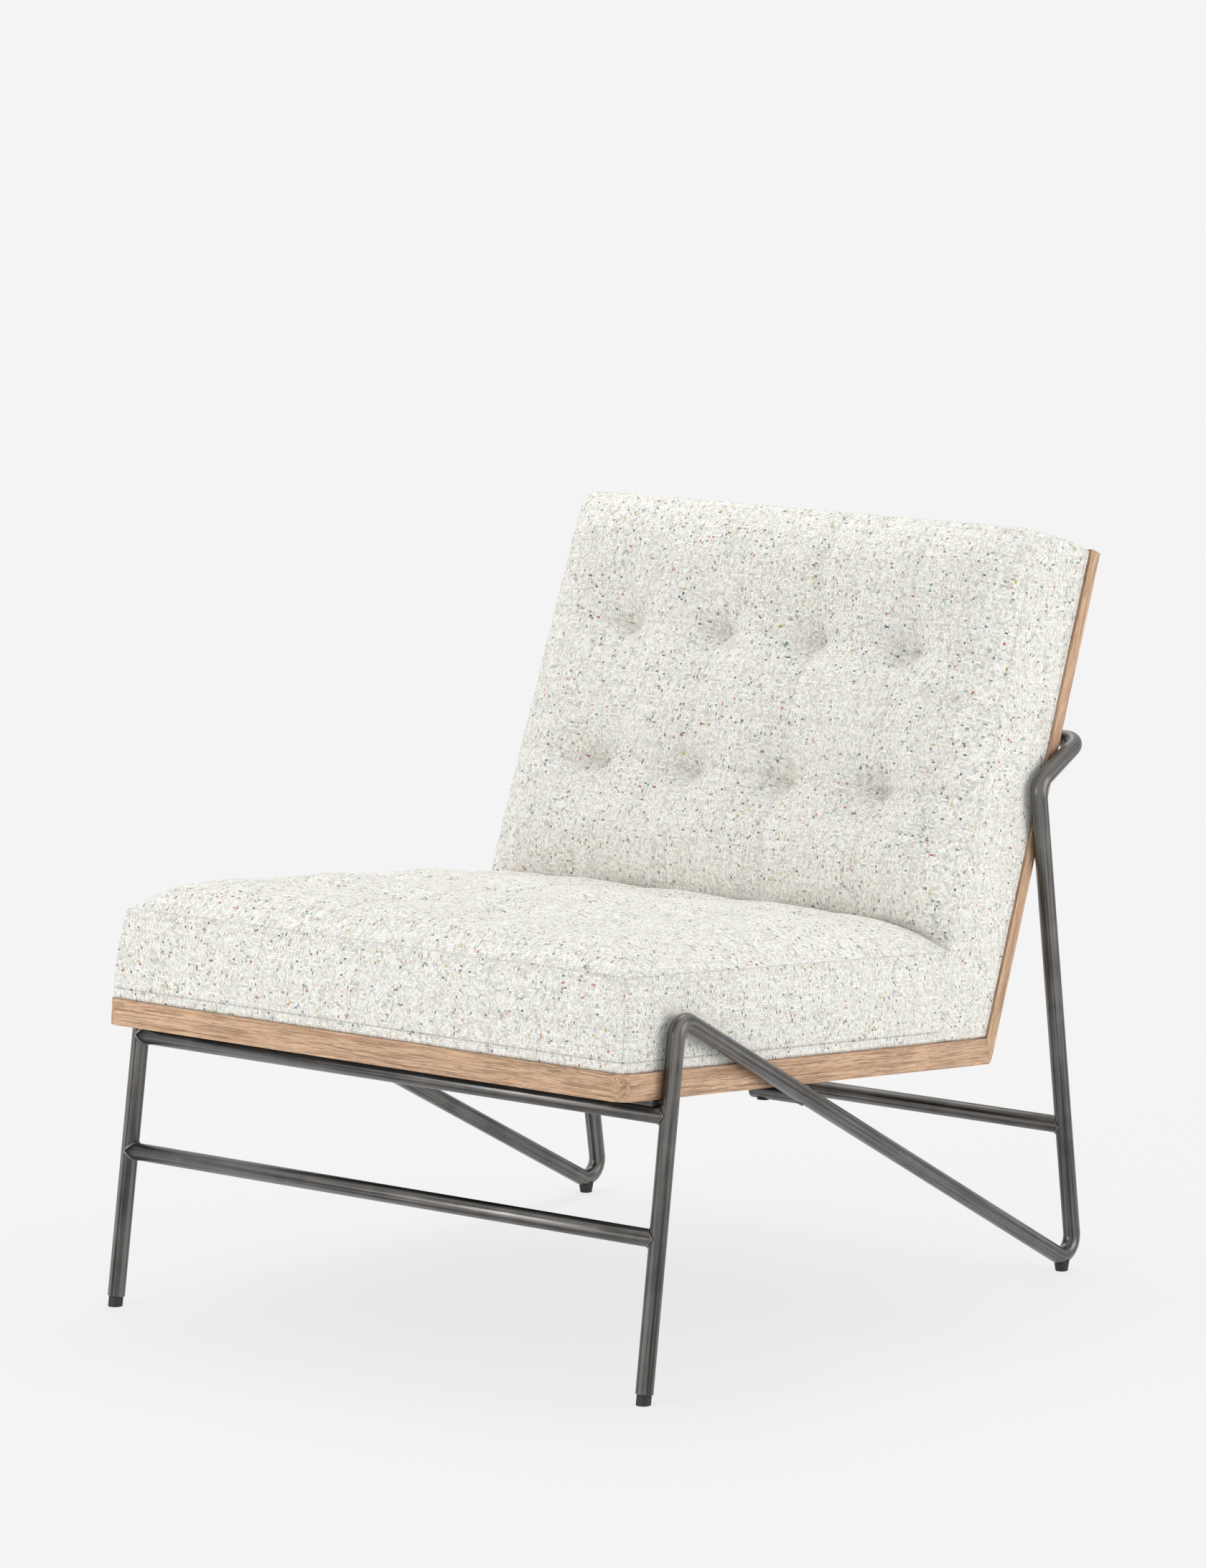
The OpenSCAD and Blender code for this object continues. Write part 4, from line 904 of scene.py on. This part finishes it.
def block(cells: Sequence[int]) -> Bmesh:
    """A cube from -1 to 1 cut into cells.

    Args: cells: number of cells along each axis. Returns: the mesh.
    """
    bm = bmesh.new()
    bmesh.ops.create_cube(bm, size=2)
    for axis, count in enumerate(cells):
        edges = [e for e in bm.edges
                 if abs(e.verts[0].co[axis] - e.verts[1].co[axis]) > 0.5]
        if count > 1:
            bmesh.ops.subdivide_edges(bm, edges=edges, cuts=count - 1, use_grid_fill=True)
    return bm


def coords(mesh: bpy.types.Mesh) -> Array:
    """Args: mesh: a mesh. Returns: the places of its vertices."""
    co = np.empty(len(mesh.vertices) * 3)
    mesh.vertices.foreach_get("co", co)
    return co.reshape(-1, 3)


def mould(mesh: bpy.types.Mesh, places: Array, **values: Array) -> None:
    """Args: mesh: a mesh; places: where its vertices go; values: point attributes."""
    mesh.vertices.foreach_set("co", places.ravel())
    for name, numbers in values.items():
        mesh.attributes.new(name, "FLOAT", "POINT").data.foreach_set("value", numbers)
    mesh.update()


def corner_verts(mesh: bpy.types.Mesh) -> Array:
    """Args: mesh: a mesh. Returns: the vertex of each corner of its faces."""
    loops = np.empty(len(mesh.loops), int)
    mesh.loops.foreach_get("vertex_index", loops)
    return loops


@dataclass(frozen=True)
class Puff:
    """Settings of the cloth simulation that fills a cushion."""

    pressure: float = 2.5
    slack: float = 0.010
    cap: float = 0.004
    frames: int = 20
    sewn: float = 0.5
    hem_rows: int = 2

    def run(self, piece: Object, held: Array) -> None:
        """Lets the cushion's cloth settle over its filling and keeps the settled shape.

        Args: piece: the cushion, before its other modifiers; held: how firmly each vertex is
        held, from 0 to 1.
        """
        scene, mesh = bpy.context.scene, piece.data
        start = coords(mesh)
        group = piece.vertex_groups.new(name="held")
        for level in np.unique(np.round(held, 2)):
            chosen = np.flatnonzero(np.round(held, 2) == level)
            group.add([int(i) for i in chosen], float(level), "REPLACE")
        cloth = piece.modifiers.new("Cloth", "CLOTH")
        wanted = {"quality": 4, "mass": 0.3, "tension_stiffness": 12,
                  "compression_stiffness": 12, "bending_stiffness": 0.4,
                  "vertex_group_mass": "held", "use_pressure": True,
                  "uniform_pressure_force": self.pressure, "shrink_min": -self.slack}
        for key, value in wanted.items():
            setattr(cloth.settings, key, value)
        cloth.settings.effector_weights.gravity = 0
        cloth.collision_settings.use_collision = False
        cloth.point_cache.frame_start, cloth.point_cache.frame_end = 1, self.frames
        for number in range(1, self.frames + 1):
            scene.frame_set(number)
        end = coords(piece.evaluated_get(bpy.context.evaluated_depsgraph_get()).data)
        piece.modifiers.remove(cloth)
        piece.vertex_groups.remove(group)
        scene.frame_set(1)
        move = end - start
        run = np.linalg.norm(move, axis=1, keepdims=True)
        share = self.cap * np.tanh(run / self.cap) / np.maximum(run, TINY)
        mould(mesh, start + move * share)
        log.info("%s settled by up to %.1f mm, %.1f mm on average", piece.name,
                 float((run * share).max()) / MM, float((run * share).mean()) / MM)


@dataclass
class Cushion:
    """A stuffed cushion mapped from a cut block, with its seams and its cloth's lay."""

    name: str
    nodes: tuple[str, ...]
    tufting: Tufting
    x_cells: tuple[int, ...] = (24, 20, 20, 20, 24)
    y_cells: tuple[int, ...] = ()
    z_cells: int = 15
    fill: float = 0.75
    puff: Puff = Puff()
    corner_past: float = 0.05

    def shape(self, i: Array, j: Array, k: Array) -> tuple:
        """Args: i, j, k: cell counts along the three axes. Returns: the vertices' places
        in the cushion's own frame as x, y and height, their distances to the nearest
        seam, and how far they lie beyond the hem's stitches."""
        raise NotImplementedError

    def place(self, x: Array, y: Array, h: Array) -> Array:
        """Args: x, y, h: places in the cushion's own frame. Returns: them in the frame."""
        raise NotImplementedError

    def across(self, i: Array, half: Array) -> Array:
        """Args: i: cell counts across; half: half widths there. Returns: the vertices' x."""
        outer, total = self.x_cells[0], sum(self.x_cells)
        edge = np.minimum(i, total - i)
        x = half - (half - self.tufting.columns[-1]) * edge / outer
        inner = marks_to([-1, *self.tufting.columns, 1], self.x_cells, i)
        return np.where(edge <= outer, np.sign(i - total / 2) * x, inner)

    def build(self, finishes: Finishes) -> Object:
        """Args: finishes: the chair's materials. Returns: the cushion."""
        cells = (sum(self.x_cells), sum(self.y_cells), self.z_cells)
        piece = new_object(self.name, block(cells))
        mesh = piece.data
        ijk = [np.rint((c + 1) / 2 * n) for c, n in zip(coords(mesh).T, cells)]
        x, y, h, seam, hem = self.shape(*ijk)
        self.lay_cloth(mesh, np.stack(ijk, -1), np.stack([x, y, h], -1))
        self.crease_hem(mesh, ijk, cells)
        mould(mesh, self.place(x, y, h), seam=seam, hem=hem)
        self.puff.run(piece, self.held(ijk, cells, x, y, seam))
        rounding = piece.modifiers.new("Rounding", "SUBSURF")
        rounding.levels = rounding.render_levels = 1
        carried(piece, finishes["cloth"], "cloth", *self.nodes)
        return piece

    def crease_hem(self, mesh: bpy.types.Mesh, ijk: Sequence[Array],
                   cells: Sequence[int]) -> None:
        """Keeps the folded edge on the wood sharp when the cushion is subdivided.

        Args: mesh: the cushion's mesh; ijk: cell counts of its vertices; cells: number of cells
        along each axis.
        """
        i, j, k = ijk
        rim = (k == 0) & ((i == 0) | (i == cells[0]) | (j == 0) | (j == cells[1]))
        ends = np.empty(len(mesh.edges) * 2, int)
        mesh.edges.foreach_get("vertices", ends)
        sharp = rim[ends.reshape(-1, 2)].all(1).astype(float)
        mesh.attributes.new("crease_edge", "FLOAT", "EDGE").data.foreach_set("value", sharp)

    def held(self, ijk: Sequence[Array], cells: Sequence[int], x: Array,
             y: Array, seam: Array) -> Array:
        """How firmly each vertex is held while the cushion fills.

        Args: ijk: cell counts of the vertices; cells: number of cells along each axis; x, y:
        places of the vertices in the cushion's frame; seam: their distances to the nearest sewn
        line. Returns: shares from 0, free, to 1, held.
        """
        i, j, k = ijk
        face = k == cells[2]
        firm = np.where(face & (self.tufting.far(x, y) < self.tufting.eye), 1.0, 0.0)
        firm = np.maximum(firm, np.where(seam < 1 * MM, self.puff.sewn, 0.0))
        sides = (i == 0) | (i == cells[0]) | (face & ((j == 0) | (j == cells[1])))
        return np.where((k <= self.puff.hem_rows) | sides, 1.0, firm)

    def lay_cloth(self, mesh: bpy.types.Mesh, ijk: Array, local: Array) -> None:
        """Writes the uv map named cloth, in metres, one panel for each side of the block.

        Args: mesh: the cushion's mesh; ijk: cell counts of its vertices; local: their places
        in the cushion's own frame.
        """
        uv = mesh.uv_layers.new(name="cloth")
        faces = corner_verts(mesh).reshape(-1, 4)
        face_ijk = ijk[faces]
        flat = np.all(face_ijk == face_ijk[:, :1], axis=1)
        panel = flat.argmax(1) * 2 + (face_ijk[np.arange(len(faces)), 0, flat.argmax(1)] > 0)
        corners = np.empty((len(faces), 4, 2))
        for side in range(6):
            chosen = panel == side
            corners[chosen] = self.panel_uv(side, local[faces[chosen]])
        uv.uv.foreach_set("vector", corners.ravel())

    def panel_uv(self, side: int, p: Array) -> Array:
        """Args: side: 0 and 1 left and right, 2 and 3 front and rear, 4 and 5 bottom and
        top of the block; p: places in the cushion's frame. Returns: cloth coordinates."""
        raise NotImplementedError


def rounded(x: Array, y: Array, half: Array, low: float, r: float,
            middle: float) -> tuple[Array, Array]:
    """Draws in the corners at the low end of a rectangle to arcs.

    Args: x, y: places in the rectangle from -half to half and from low upwards; half: its half
    width at each place; low: its low edge; r: the arcs' radius; middle: a y level inside it
    that stays where it is. Returns: the new x and y.
    """
    depth = middle - low
    m, n = np.abs(x) / half, np.clip((middle - y) / depth, 0, None)
    t = np.maximum(np.maximum(m, n), TINY)
    qx, qy = np.abs(x) / t, np.where(n > 0, n / t * depth, 0)
    cx, cy = half - r, depth - r
    dot = qx * cx + qy * cy
    norm2 = qx * qx + qy * qy
    root = np.sqrt(np.maximum(dot * dot - norm2 * (cx * cx + cy * cy - r * r), 0))
    scale = (dot + root) / np.maximum(norm2, TINY)
    cut = (qx * scale > cx) & (qy * scale > cy) & (scale < 1)
    share = 1 + (np.where(cut, scale, 1) - 1) * t ** 3
    return x * share, np.where(n > 0, middle - (middle - y) * share, y)


def marks_to(values: Sequence[float], cells: Sequence[int], index: Array) -> Array:
    """Args: values: marks; cells: cells between them; index: cell counts.
    Returns: the values at those counts."""
    return np.interp(index, np.concatenate([[0], np.cumsum(cells)]), values)


@dataclass
class SeatCushion(Cushion):
    """The seat: a boxed cushion, crowned, tufted in three rows."""

    place = staticmethod(FORM.seat)
    crown: float = 0.039
    rear_rise: float = 0.020
    side_w: float = 0.125
    side_power: float = 2.5
    front_share: float = 0.47
    front_near_w: float = 0.038
    front_far_w: float = 0.156
    rear_w: float = 0.150
    hem: float = 0.011
    tuck: float = 0.008
    corner_ease: float = 0.0005
    corner_taper: float = 0.002
    side_cut: float = 2.0
    front_cut: float = 0.4
    top_cut: float = 5.1
    stretch: float = 1.02

    def rise(self, x: Array, u: Array) -> Array:
        """Args: x, u: places in plan. Returns: the crown's height above the seam there."""
        inset = FORM.cover_inset + FORM.side_draw
        depth = FORM.seat_at(FORM.back_seam_d + FORM.gap, FORM.seat_seam_h)
        sides = swell(FORM.seat_half(u, FORM.seat_seam_h) - inset - np.abs(x), self.side_w,
                      self.side_power)
        share = self.rear_rise / self.crown
        front = (self.front_share * swell(u - inset, self.front_near_w)
                 + (1 - self.front_share) * swell(u - inset, self.front_far_w))
        body = full_corner(sides, front)
        body = body * (share + (1 - share) * swell(depth - u, self.rear_w))
        return body * (self.crown - self.tufting.relief(x, u))

    def shape(self, i: Array, j: Array, k: Array) -> tuple:
        """Args: i, j, k: cell counts. Returns: x, u, v, seam and hem distances."""
        low, high = FORM.rail_h + FORM.gap, FORM.seat_seam_h
        t = k / self.z_cells
        v = low + (high - low) * t
        inset = FORM.cover_inset + FORM.drawn(t)
        depth = FORM.seat_at(FORM.back_seam_d - self.tuck, v)
        rows = self.tufting.rows
        u = marks_to([0, *rows, 1], self.y_cells, j)
        front, rear = j <= self.y_cells[0], j >= sum(self.y_cells[:-1])
        u = np.where(front, inset + (rows[0] - inset) * j / self.y_cells[0], u)
        last = (j - sum(self.y_cells[:-1])) / self.y_cells[-1]
        u = np.where(rear, rows[-1] + (depth - rows[-1]) * np.clip(last, 0, 1), u)
        half = FORM.seat_half(u, v) - FORM.side_inset(FORM.seat(0 * u, u, v))
        x = self.across(i, half)
        x, u = rounded(x, u, half, inset, self.corner_r(t), rows[0] + self.corner_past)
        top = k == self.z_cells
        rise = np.where(top, self.rise(x, u), 0)
        grown = FORM.seat_at(FORM.back_seam_d - self.tuck, v + rise)
        u = np.where(rear, rows[-1] + (u - rows[-1]) * (grown - rows[-1]) / (depth - rows[-1]), u)
        cell = rows[0] / self.y_cells[0]
        to_corner = cell * (np.minimum(i, sum(self.x_cells) - i) + j)
        edge_d = np.minimum(np.abs(v - high), to_corner)
        seam = np.where(top, np.minimum(self.tufting.seam(x, u), self.rim(x, u, inset)), edge_d)
        return x, u, v + rise, seam, v - FORM.rail_h - self.hem

    def corner_r(self, t: float) -> float:
        """Args: t: share of the side's height. Returns: radius of the front corners there."""
        return FORM.corner_r / 2 + self.corner_ease - self.corner_taper * t

    def rim(self, x: Array, u: Array, inset: Array) -> Array:
        """Args: x, u, inset: places on the top. Returns: the distance to its front and
        side edges, where the side panels are sewn on."""
        side = FORM.seat_half(u, FORM.seat_seam_h) - inset - np.abs(x)
        front = u - inset
        r = self.corner_r(1)
        dx, dy = np.maximum(r - side, 0), np.maximum(r - front, 0)
        return np.where((dx > 0) & (dy > 0), r - np.hypot(dx, dy), np.minimum(side, front))

    def panel_uv(self, side: int, p: Array) -> Array:
        """Args: side, p: the panel and places in it. Returns: cloth coordinates."""
        x, u, v = p[..., 0], p[..., 1], p[..., 2]
        if side < 2:
            return np.stack([u + self.side_cut + side, v], -1)
        if side < 4:
            return np.stack([x + self.front_cut + 4 * side, v], -1)
        return np.stack([x + self.top_cut + side, u * self.stretch], -1)


@dataclass
class BackCushion(Cushion):
    """The back: a boxed cushion, crowned to the front, tufted in two rows."""

    place = staticmethod(FORM.back)
    crown: float = 0.034
    edge_w: float = 0.062
    seat_rise: float = 0.020
    seat_side_w: float = 0.125
    seat_side_power: float = 2.5
    seat_edge_w: float = 0.078
    top_drop: float = 0.001
    hem: float = 0.005
    round_gain: float = 1.15
    round_lag: float = 0.05
    round_power: float = 1.2
    least_r: float = 0.0001
    side_cut: float = 2.0
    end_cut: float = 7.3
    face_cut: float = 9.7
    stretch: float = 1.01

    @property
    def high(self) -> float:
        """Returns: height of the cover's top along the back."""
        return FORM.back_len - self.top_drop

    def rise(self, x: Array, b: Array) -> Array:
        """Args: x, b: places on the face. Returns: its height above the seam there."""
        inset = FORM.cover_inset + FORM.side_draw
        depth = FORM.seat_at(FORM.back_seam_d + FORM.gap, FORM.seat_seam_h)
        side_rise = swell(FORM.seat_half(depth, FORM.seat_seam_h) - inset - np.abs(x),
                          self.seat_side_w, self.seat_side_power)
        contact = FORM.back_at(FORM.seat_seam_h + self.seat_rise * side_rise, FORM.back_seam_d)
        sides = swell(FORM.back_half(b, FORM.back_seam_d) - inset - np.abs(x), self.edge_w)
        ends = swell(self.high - FORM.side_draw / 2 - b, self.edge_w) * swell(
            b - contact, self.seat_edge_w)
        return sides * ends * (self.crown - self.tufting.relief(x, b))

    def shape(self, i: Array, j: Array, k: Array) -> tuple:
        """Args: i, j, k: cell counts. Returns: x, b, w, seam and hem distances."""
        near, far = FORM.stile_d + FORM.gap, FORM.back_seam_d
        t = k / self.z_cells
        w = near + (far - near) * t
        low = FORM.back_at(FORM.rail_h + FORM.gap, w)
        rows = self.tufting.rows
        high = self.high - FORM.drawn(t) / 2
        contact = FORM.back_at(FORM.seat_seam_h, FORM.back_seam_d)
        count = np.cumsum(self.y_cells)
        b = marks_to([0, contact, *rows, 1], self.y_cells, j)
        b = np.where(j <= count[0], low + (contact - low) * j / count[0], b)
        last = np.clip((j - count[-2]) / self.y_cells[-1], 0, 1)
        b = np.where(j >= count[-2], rows[-1] + (high - rows[-1]) * last, b)
        half = FORM.back_half(b, w) - FORM.side_inset(FORM.back(0 * b, b, w))
        round_share = np.clip(t * self.round_gain - self.round_lag, 0, 1) ** self.round_power
        x, flip = rounded(self.across(i, half), -b, half, -high,
                          np.maximum(FORM.corner_r * round_share, self.least_r),
                          -(rows[-1] - self.corner_past))
        b = -flip
        face = k == self.z_cells
        rise = np.where(face, self.rise(x, b), 0)
        rim = np.minimum(half - np.abs(x), high - b)
        seam = np.where(face, np.minimum(self.tufting.seam(x, b), np.maximum(rim, 0)),
                        np.abs(w - far))
        return x, b, w + rise, seam, w - near - self.hem

    def panel_uv(self, side: int, p: Array) -> Array:
        """Args: side, p: the panel and places in it. Returns: cloth coordinates."""
        x, b, w = p[..., 0], p[..., 1], p[..., 2]
        if side < 2:
            u, v = FORM.seat_coords(FORM.back(x, b, w))
            return np.stack([u + self.side_cut + side, v], -1)
        if side < 4:
            return np.stack([x + self.end_cut + side, w], -1)
        return np.stack([x + self.face_cut + side, b * self.stretch], -1)


# ---- covers behind and below


@dataclass(frozen=True)
class OutsideBack:
    """Cloth-covered pad on the back's outside, let in between the stiles."""

    cells: tuple[int, int, int] = (96, 74, 1)
    low: float = 0.040
    outer: float = 0.002
    inner: float = 0.006
    crown: float = 0.0012
    sunk: float = 0.0009
    cut: float = 12.0
    edge_w: float = 0.012

    def build(self, finishes: Finishes) -> None:
        """Args: finishes: the chair's materials."""
        piece = new_object("outside_back_cloth", block(self.cells))
        mesh = piece.data
        m, n, k = coords(mesh).T
        b0, b1 = self.low + FORM.gap, FORM.back_len - FORM.rail_t - FORM.gap
        b = b0 + (b1 - b0) * (n + 1) / 2
        half = FORM.back_half(b, np.full_like(b, self.outer)) - FORM.rail_t - FORM.gap
        x = m * half
        edge = np.minimum(half - np.abs(x), np.minimum(b - b0, b1 - b))
        crown = self.crown * swell(edge, self.edge_w) - self.sunk
        w = np.where(k < 0, self.outer - crown, self.inner)
        uv = mesh.uv_layers.new(name="cloth")
        lay = np.stack([x + self.cut, b], -1)[corner_verts(mesh)]
        uv.uv.foreach_set("vector", lay.ravel())
        mould(mesh, FORM.back(x, b, w), seam=edge + 9 * MM, hem=edge - 5 * MM)
        carried(piece, finishes["cloth"], "cloth", "outside_back")


@dataclass(frozen=True)
class DustCover:
    """Black cambric stretched over the seat's underside and stapled to the rails."""

    inset: float = 0.010
    rear: float = 0.620
    thick: float = 0.5 * MM
    ripple: float = 0.12 * MM
    edge_w: float = 0.004
    staples: float = 0.021
    side_staples: float = 0.024
    fading: float = 0.03
    cells: tuple[int, int, int] = (72, 72, 1)

    def build(self, finishes: Finishes) -> None:
        """Args: finishes: the chair's materials."""
        piece = new_object("dust_cover_cloth", block(self.cells))
        m, n, k = coords(piece.data).T
        u = self.inset + (self.rear - self.inset) * (n + 1) / 2
        half = FORM.seat_half(u, 0 * u) - self.inset
        x = m * half
        edge = np.minimum(half - np.abs(x), np.minimum(u - self.inset, self.rear - u))
        wave = np.sin(x * 2 * math.pi / self.staples) * np.exp(
            -np.abs(u - self.inset) / self.fading)
        wave = wave + np.sin(u * 2 * math.pi / self.side_staples) * np.exp(
            -(half - np.abs(x)) / self.fading)
        v = -FORM.gap - self.ripple - self.ripple * wave * swell(edge, self.edge_w)
        v = np.where(k > 0, v, v - self.thick)
        mould(piece.data, FORM.seat(x, u, v))
        carried(piece, finishes["dust"], "dust_cloth", "dust_cover")


# ---- studio


@dataclass(frozen=True)
class Studio:
    """Pale floor, soft lights and the camera of the photograph."""

    white: float = 0.905
    ambient: float = 0.80
    floor_size: float = 60.0
    shade: float = 0.82
    shade_from: float = 0.9
    shade_to: float = 2.4
    camera_at: tuple[float, float, float] = (4.4778, -5.6498, 1.6247)
    azimuth: float = 38.5313
    elevation: float = 8.6309
    lens: float = 161.70
    aim_h: float = 0.4
    lights: tuple[tuple, ...] = (("top", (-1.0, 0.8, 3.1), 2.0, 39),
                                 ("key", (3.5, 1.2, 1.1), 2.0, 55),
                                 ("fill", (-0.9, -3.8, 1.3), 0.9, 52))

    def floor(self) -> None:
        """Makes the paper floor: shaded near the chair, even further out."""
        bm = bmesh.new()
        bmesh.ops.create_grid(bm, x_segments=8, y_segments=8, size=self.floor_size)
        piece = new_object("floor", bm)
        s = Shader("backdrop_paper")  # matt white background paper
        where = s.places()
        tooth = s.ease(s.noise(where, 900.0, 3.0), 0.3, 0.7)
        x, y, _ = s.parts(where)
        far = s.math("SQRT", s.weigh((x, x), (y, y)))
        white = s.blend(tooth, linear("#e4e4e4"), linear("#e8e8e8"))
        lit = s.node("BsdfDiffuse", {"Color": white}).outputs[0]
        glow = s.node("Emission", {"Color": (1, 1, 1, 1), "Strength": self.white}).outputs[0]
        fade = s.ease(far, self.shade_from, self.shade_to, self.shade, 1.0)
        s.backdrop(fade, lit, glow)
        piece.data.materials.append(s.owner)

    def world(self) -> None:
        """Makes the even surroundings: paper white to the eye, softer as a light."""
        s = Shader("studio", world=True)
        lit, seen = (s.node("Background", {0: colour, 1: strength}).outputs[0]
                     for colour, strength in ((linear("#f4f6f8"), self.ambient),
                                              ((1, 1, 1, 1), self.white)))
        s.backdrop(1.0, lit, seen)
        bpy.context.scene.world = s.owner

    def light(self, name: str, at: Sequence[float], size: float, watts: float) -> None:
        """Adds a square soft light that faces the chair.

        Args: name: the light's name; at: its place; size: its side; watts: its power.
        """
        data = bpy.data.lights.new(name, "AREA")
        data.shape, data.size, data.energy = "SQUARE", size, watts
        lamp = bpy.data.objects.new(name, data)
        lamp.location = at
        aim = Vector((0, 0, self.aim_h)) - lamp.location
        lamp.rotation_euler = aim.to_track_quat("-Z", "Y").to_euler()
        bpy.context.scene.collection.objects.link(lamp)

    def camera(self) -> None:
        """Makes the camera that was solved from the photograph."""
        data = bpy.data.cameras.new("camera")
        data.lens, data.sensor_width = self.lens, 36.0
        data.clip_end = 200.0
        eye = bpy.data.objects.new("camera", data)
        az, el = math.radians(self.azimuth), math.radians(self.elevation)
        back = Vector((math.sin(az) * math.cos(el), -math.cos(az) * math.cos(el),
                       math.sin(el)))
        eye.location = self.camera_at
        eye.rotation_mode = "QUATERNION"
        eye.rotation_quaternion = (-back).to_track_quat("-Z", "Y")
        bpy.context.scene.collection.objects.link(eye)
        bpy.context.scene.camera = eye

    def build(self) -> None:
        """Makes the whole studio."""
        self.floor()
        self.world()
        self.camera()
        for settings in self.lights:
            self.light(*settings)
        bpy.context.scene.view_settings.view_transform = "Standard"


# ---- the whole chair


@dataclass
class Chair:
    """The accent chair with all of its pieces."""

    nodes: dict
    finishes: Finishes = field(default_factory=make_finishes)
    hidden: dict[str, tuple[str, ...]] = field(default_factory=lambda: {
        "birch": ("back_mid_rail", "corner_block", "lug_block", "seat_board", "back_board"),
        "webbing": ("seat_straps", "back_straps"),
        "twine": ("seat_tuft_ties", "back_tuft_ties"),
        "screw": ("seat_screws", "back_screws"),
        "rubber": ("front_foot", "rear_foot"),
        "plate": ("seat_lug", "back_lug", "front_plate")})

    def dress_nodes(self) -> None:
        """Gives every CAD node that stays its material."""
        for key, starts in self.hidden.items():
            for name, node in self.nodes.items():
                if name.startswith(starts):
                    node.data.materials.clear()
                    node.data.materials.append(self.finishes[key])

    def build(self) -> None:
        """Makes every piece."""
        self.dress_nodes()
        SteelBase().build(self.finishes)
        ShowFrame().build(self.nodes, self.finishes)
        seat = Tufting(rows=(0.150, 0.302, 0.454), depth=0.021, spread=0.029, pull=0.016,
                       channel=0.0035)
        SeatCushion("seat_cushion", ("seat_cover",), seat, y_cells=(24, 24, 24, 18),
                    z_cells=15, puff=Puff(cap=0.003)).build(self.finishes)
        back = Tufting(rows=(0.252, 0.404), depth=0.022, pull=0.020)
        BackCushion("back_cushion", ("back_cover",), back, y_cells=(14, 26, 25, 24),
                    z_cells=14).build(self.finishes)
        OutsideBack().build(self.finishes)
        DustCover().build(self.finishes)
        for name in ("seat_foam", "back_foam"):
            pad = eased_copy(name + "_pad", self.nodes[name], (1, 0, 0), 2 * MM, 2 * MM)
            carried(pad, self.finishes["foam"], "foam", name)


def corners(box: Iterable) -> list[list[float]]:
    """Args: box: two corners. Returns: them as plain lists."""
    return [[float(c) for c in corner] for corner in box]


def main() -> None:
    """Builds the chair and its studio on the frame."""
    logging.basicConfig(level=logging.INFO, format="%(name)s: %(message)s")
    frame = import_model()
    Studio().build()
    Chair(frame["nodes"]).build()


if __name__ == "__main__":
    main()
